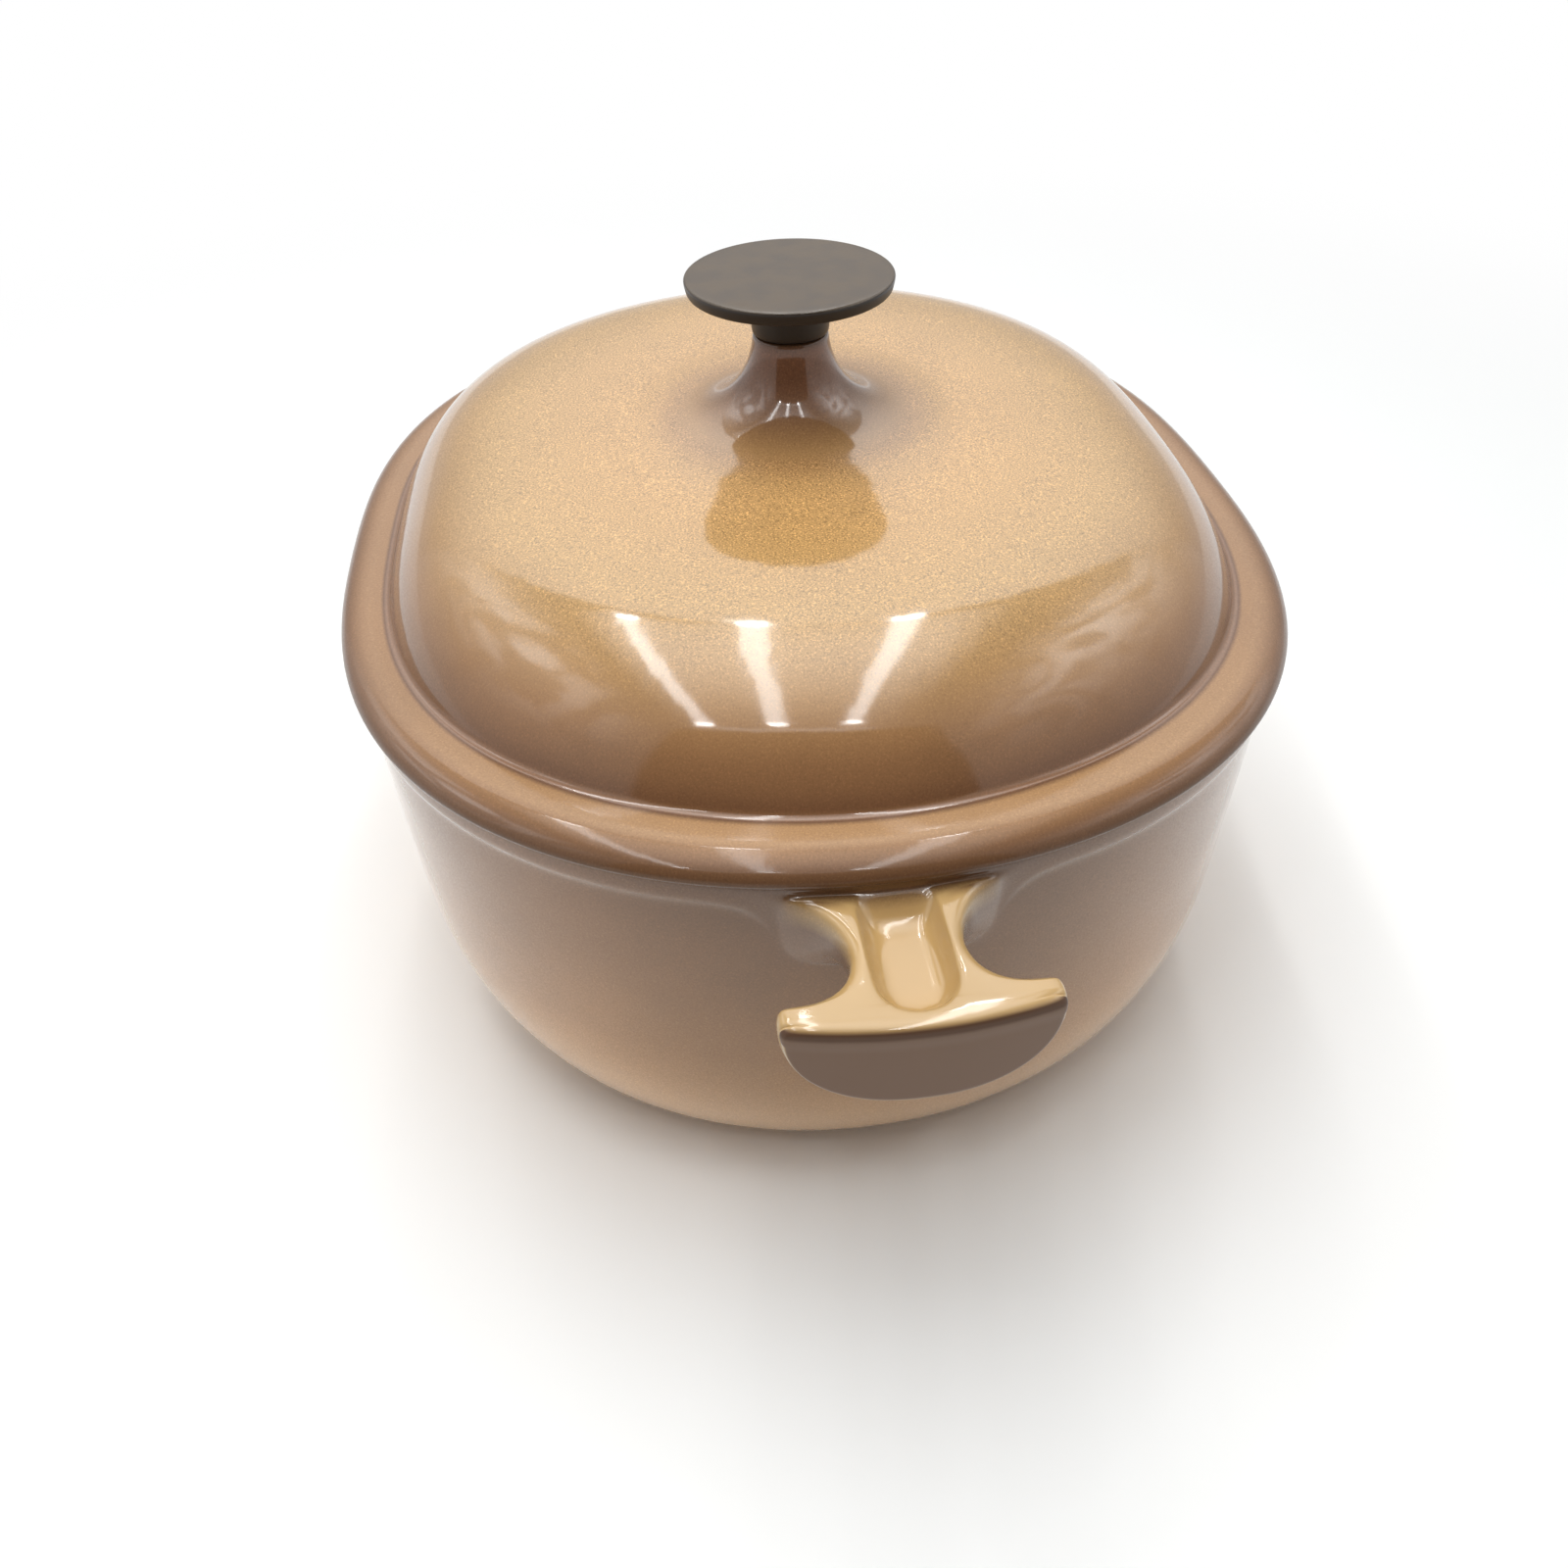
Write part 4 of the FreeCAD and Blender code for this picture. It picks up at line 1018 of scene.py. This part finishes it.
def lid_rows():
    """The lid's rings and their colours, from the knob's seat down the outside, and up inside."""
    rings = [(circle_ring(lid_turns, radius, level), UMBER) for radius, level in SEAT_ROWS]
    for degrees in BOSS_DEGREES:
        angle = math.radians(degrees)
        radius = BOSS_RADIUS + BOSS_FLARE * (1 - math.cos(angle))
        share = (degrees - BOSS_FADE[0]) / (BOSS_FADE[1] - BOSS_FADE[0])
        colour = mixed(BOSS_GLAZE, DOME_GLAZE[0][1], share)
        rings.append((circle_ring(lid_turns, radius, KNOB_SEAT - BOSS_FALL * math.sin(angle)), colour))
    skirt = circle_ring(lid_turns, BOSS_RADIUS + BOSS_FLARE + SKIRT_WIDTH, DOME_TOP + SKIRT_RISE)
    outer = dome_ring(DOME_SHARES[0], 0, dome_level(DOME_SHARES[0]))
    rings.append((between(skirt, outer, SKIRT_BLEND), glaze_at(DOME_GLAZE, SKIRT_SHARE)))
    for share in DOME_SHARES:
        rings.append((dome_ring(share, 0, dome_level(share)), glaze_at(DOME_GLAZE, share)))
    for grow_by, rise in FILLET_ROWS:
        rings.append((dome_ring(1, grow_by, DOME_FOOT + rise), DOME_GLAZE[-1][1]))
    foot = dome_ring(1, BAND_FOOT[0], DOME_FOOT + BAND_FOOT[1])
    rings.append((foot, FOOT_LINE))
    band_edge = rim_ring(lid_turns, *BAND_EDGE)
    for share in BAND_SHARES:
        places = between(foot, band_edge, share)
        rings.append((places, [band_glaze(place) for place in places]))
    for inset, level in ROLL_ROWS:
        places = rim_ring(lid_turns, inset, level)
        rings.append((places, [roll_glaze(place, inset) for place in places]))
    rings += [(rim_ring(lid_turns, inset, level), UMBER) for inset, level in SEAM_ROWS]
    rings += [(rim_ring(lid_turns, inset, level), CREAM) for inset, level in LIP_ROWS]
    inner_foot = dome_ring(1, *INNER_FOOT)
    rings.append((between(rings[-1][0], inner_foot, INNER_BLEND), CREAM))
    rings.append((inner_foot, CREAM))
    rings += [(dome_ring(share, -LID_WALL, dome_level(share) - LID_WALL), CREAM) for share in INNER_SHARES]
    return rings + [(circle_ring(lid_turns, radius, level), CREAM) for radius, level in BORE_ROWS]


lid_mesh = glazed_mesh()
rings = lid_rows()
made = bmesh.ops.create_circle(lid_mesh, cap_ends=False, segments=LID_COLUMNS, radius=1.0)["verts"]
start = sorted(made, key=lambda vertex: round(math.atan2(vertex.co.y, vertex.co.x) % (2 * math.pi), 6))
for vertex, place in zip(start, rings[0][0]):
    vertex.co = place
dye(lid_mesh, start, rings[0][1])
ring = start
for places, colour in rings[1:]:
    ring = grow(lid_mesh, ring, places, colour, lid_plain(places[0].z / MM))
closing = [lid_mesh.edges.get((one[i - 1], one[i])) for one in (start, ring) for i in range(LID_COLUMNS)]
bmesh.ops.bridge_loops(lid_mesh, edges=closing)
lid = finished("lid_enamelled", lid_mesh)
lid.data.materials.append(enamel("lid_enamel"))
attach(lid, "lid_body")
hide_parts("lid")

# Knob
# A disc on a short stem, moulded in dark phenolic round its brass insert and satin all over. It sits on
# the lid's boss, where a screw from inside the lid draws it down.
KNOB_COLUMNS = 48
# From the socket in the stem up over the disc: radius, and level above the seat
KNOB_ROWS = [
    (4.6, 9.3), (4.6, 0.0), (8.9, 0.0), (9.3, 0.3), (9.45, 3.0), (9.6, 6.6), (9.9, 8.4), (11.2, 9.9),
    (13.4, 10.2), (22.0, 10.2), (23.9, 10.22), (24.35, 10.5), (24.5, 11.2), (24.8, 12.6), (24.82, 13.15),
    (24.3, 13.58), (22.5, 13.6), (12.0, 13.6),
]
knob_turns = [2 * math.pi * i / KNOB_COLUMNS for i in range(KNOB_COLUMNS)]
knob_rings = [circle_ring(knob_turns, radius, KNOB_SEAT + level) for radius, level in reversed(KNOB_ROWS)]
knob_mesh = bmesh.new()
ring = first_ring(knob_mesh, knob_rings[0])
for places in knob_rings[1:]:
    ring = grow(knob_mesh, ring, places)
bmesh.ops.contextual_create(knob_mesh, geom=ring)
knob = finished("knob_moulded", knob_mesh)

# The phenolic is near black, with faint clouds in the moulding, and paler and smoother on its top edge
PHENOLIC_DARK = (0.040, 0.025, 0.012, 1)
PHENOLIC_PALE = (0.057, 0.037, 0.018, 1)
PHENOLIC_SIDE = (0.010, 0.008, 0.010, 1)
PHENOLIC_GLINT = 0.4
PHENOLIC_ROUGHNESS = 0.28
CLOUDS_ROUGHNESS = 0.2
CLOUDS_SCALE = 140.0
CLOUDS_DETAIL = 4.0
CLOUDS_CRISPNESS = 0.6
CLOUDS_LEVELS = (0.35, 0.65)
PITS_SCALE = 2600.0
PITS_DETAIL = 1.0
PITS_DEPTH = 0.000006
EDGE_INNER = 23.6
EDGE_OUTER = 24.6
EDGE_LEVELS = (12.4, 13.4)
EDGE_PALENESS = 0.8
EDGE_POLISH = 0.12
TOP_LEVELS = (12.6, 13.5)
knob_material, tree, principled = shader("knob_phenolic")
place = node(tree, "ShaderNodeTexCoord").outputs["Object"]
x, y, z = node(tree, "ShaderNodeSeparateXYZ", {"Vector": place}).outputs
clouds = noise(tree, place, CLOUDS_SCALE, CLOUDS_DETAIL, CLOUDS_CRISPNESS)
pits = noise(tree, place, PITS_SCALE, PITS_DETAIL)
near_edge = ramp(tree, length_of(tree, x, y), EDGE_INNER * MM, EDGE_OUTER * MM)
near_top = ramp(tree, z, *((KNOB_SEAT + level) * MM for level in EDGE_LEVELS))
at_edge = calculate(tree, "MULTIPLY", near_edge, near_top)
mottle = calculate(tree, "MULTIPLY_ADD", at_edge, EDGE_PALENESS, ramp(tree, clouds, *CLOUDS_LEVELS))
mottle = mix_colours(tree, mottle, PHENOLIC_DARK, PHENOLIC_PALE)
on_top = ramp(tree, z, *((KNOB_SEAT + level) * MM for level in TOP_LEVELS))
mottle = mix_colours(tree, on_top, PHENOLIC_SIDE, mottle)
tree.links.new(mottle, principled.inputs["Base Color"])
principled.inputs["Specular IOR Level"].default_value = PHENOLIC_GLINT
satin = calculate(tree, "MULTIPLY_ADD", clouds, CLOUDS_ROUGHNESS, PHENOLIC_ROUGHNESS)
satin = calculate(tree, "MULTIPLY_ADD", at_edge, -EDGE_POLISH, satin)
tree.links.new(satin, principled.inputs["Roughness"])
skin = node(tree, "ShaderNodeBump", {"Height": pits, "Distance": PITS_DEPTH, "Strength": 1.0})
tree.links.new(skin.outputs["Normal"], principled.inputs["Normal"])
knob.data.materials.append(knob_material)
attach(knob, "lid_body")
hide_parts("knob")

# Knob's fixing
# A turned brass insert moulded into the knob, and a plated steel screw with a washer, put in from
# inside the lid's boss. All three keep the model's own shapes.
GROOVE_DETAIL = 3.0
PATCH_SCALE = 350.0
PATCH_DETAIL = 4.0
PATCH_LEVELS = (0.4, 0.65)
PATCH_ROUGHNESS = 0.25


def turned_metal(name, pale, dark, roughness, groove_scale, groove_depth):
    """Metal turned on the Z axis: fine rings, a little dulled in cloudy patches."""
    material, tree, principled = shader(name)
    place = node(tree, "ShaderNodeTexCoord").outputs["Object"]
    x, y, z = node(tree, "ShaderNodeSeparateXYZ", {"Vector": place}).outputs
    across = node(tree, "ShaderNodeCombineXYZ", {"X": length_of(tree, x, y), "Z": z}).outputs[0]
    grooves = noise(tree, across, groove_scale, GROOVE_DETAIL)
    patches = noise(tree, place, PATCH_SCALE, PATCH_DETAIL)
    tarnish = mix_colours(tree, ramp(tree, patches, *PATCH_LEVELS), pale, dark)
    dullness = calculate(tree, "MULTIPLY_ADD", patches, PATCH_ROUGHNESS, roughness)
    bump = node(tree, "ShaderNodeBump", {"Height": grooves, "Distance": groove_depth, "Strength": 1.0})
    tree.links.new(tarnish, principled.inputs["Base Color"])
    tree.links.new(dullness, principled.inputs["Roughness"])
    tree.links.new(bump.outputs["Normal"], principled.inputs["Normal"])
    principled.inputs["Metallic"].default_value = 1.0
    return material


STEEL_PALE = (0.60, 0.60, 0.61, 1)
STEEL_DARK = (0.40, 0.40, 0.40, 1)
BRASS_PALE = (0.75, 0.53, 0.24, 1)
BRASS_DARK = (0.50, 0.33, 0.14, 1)
steel = turned_metal("plated_steel", STEEL_PALE, STEEL_DARK, 0.2, 5200.0, 0.00001)
brass = turned_metal("turned_brass", BRASS_PALE, BRASS_DARK, 0.18, 4200.0, 0.000012)
for name, metal in (("knob_screw", steel), ("screw_washer", steel), ("knob_insert", brass)):
    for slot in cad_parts[name].material_slots:
        slot.material = metal
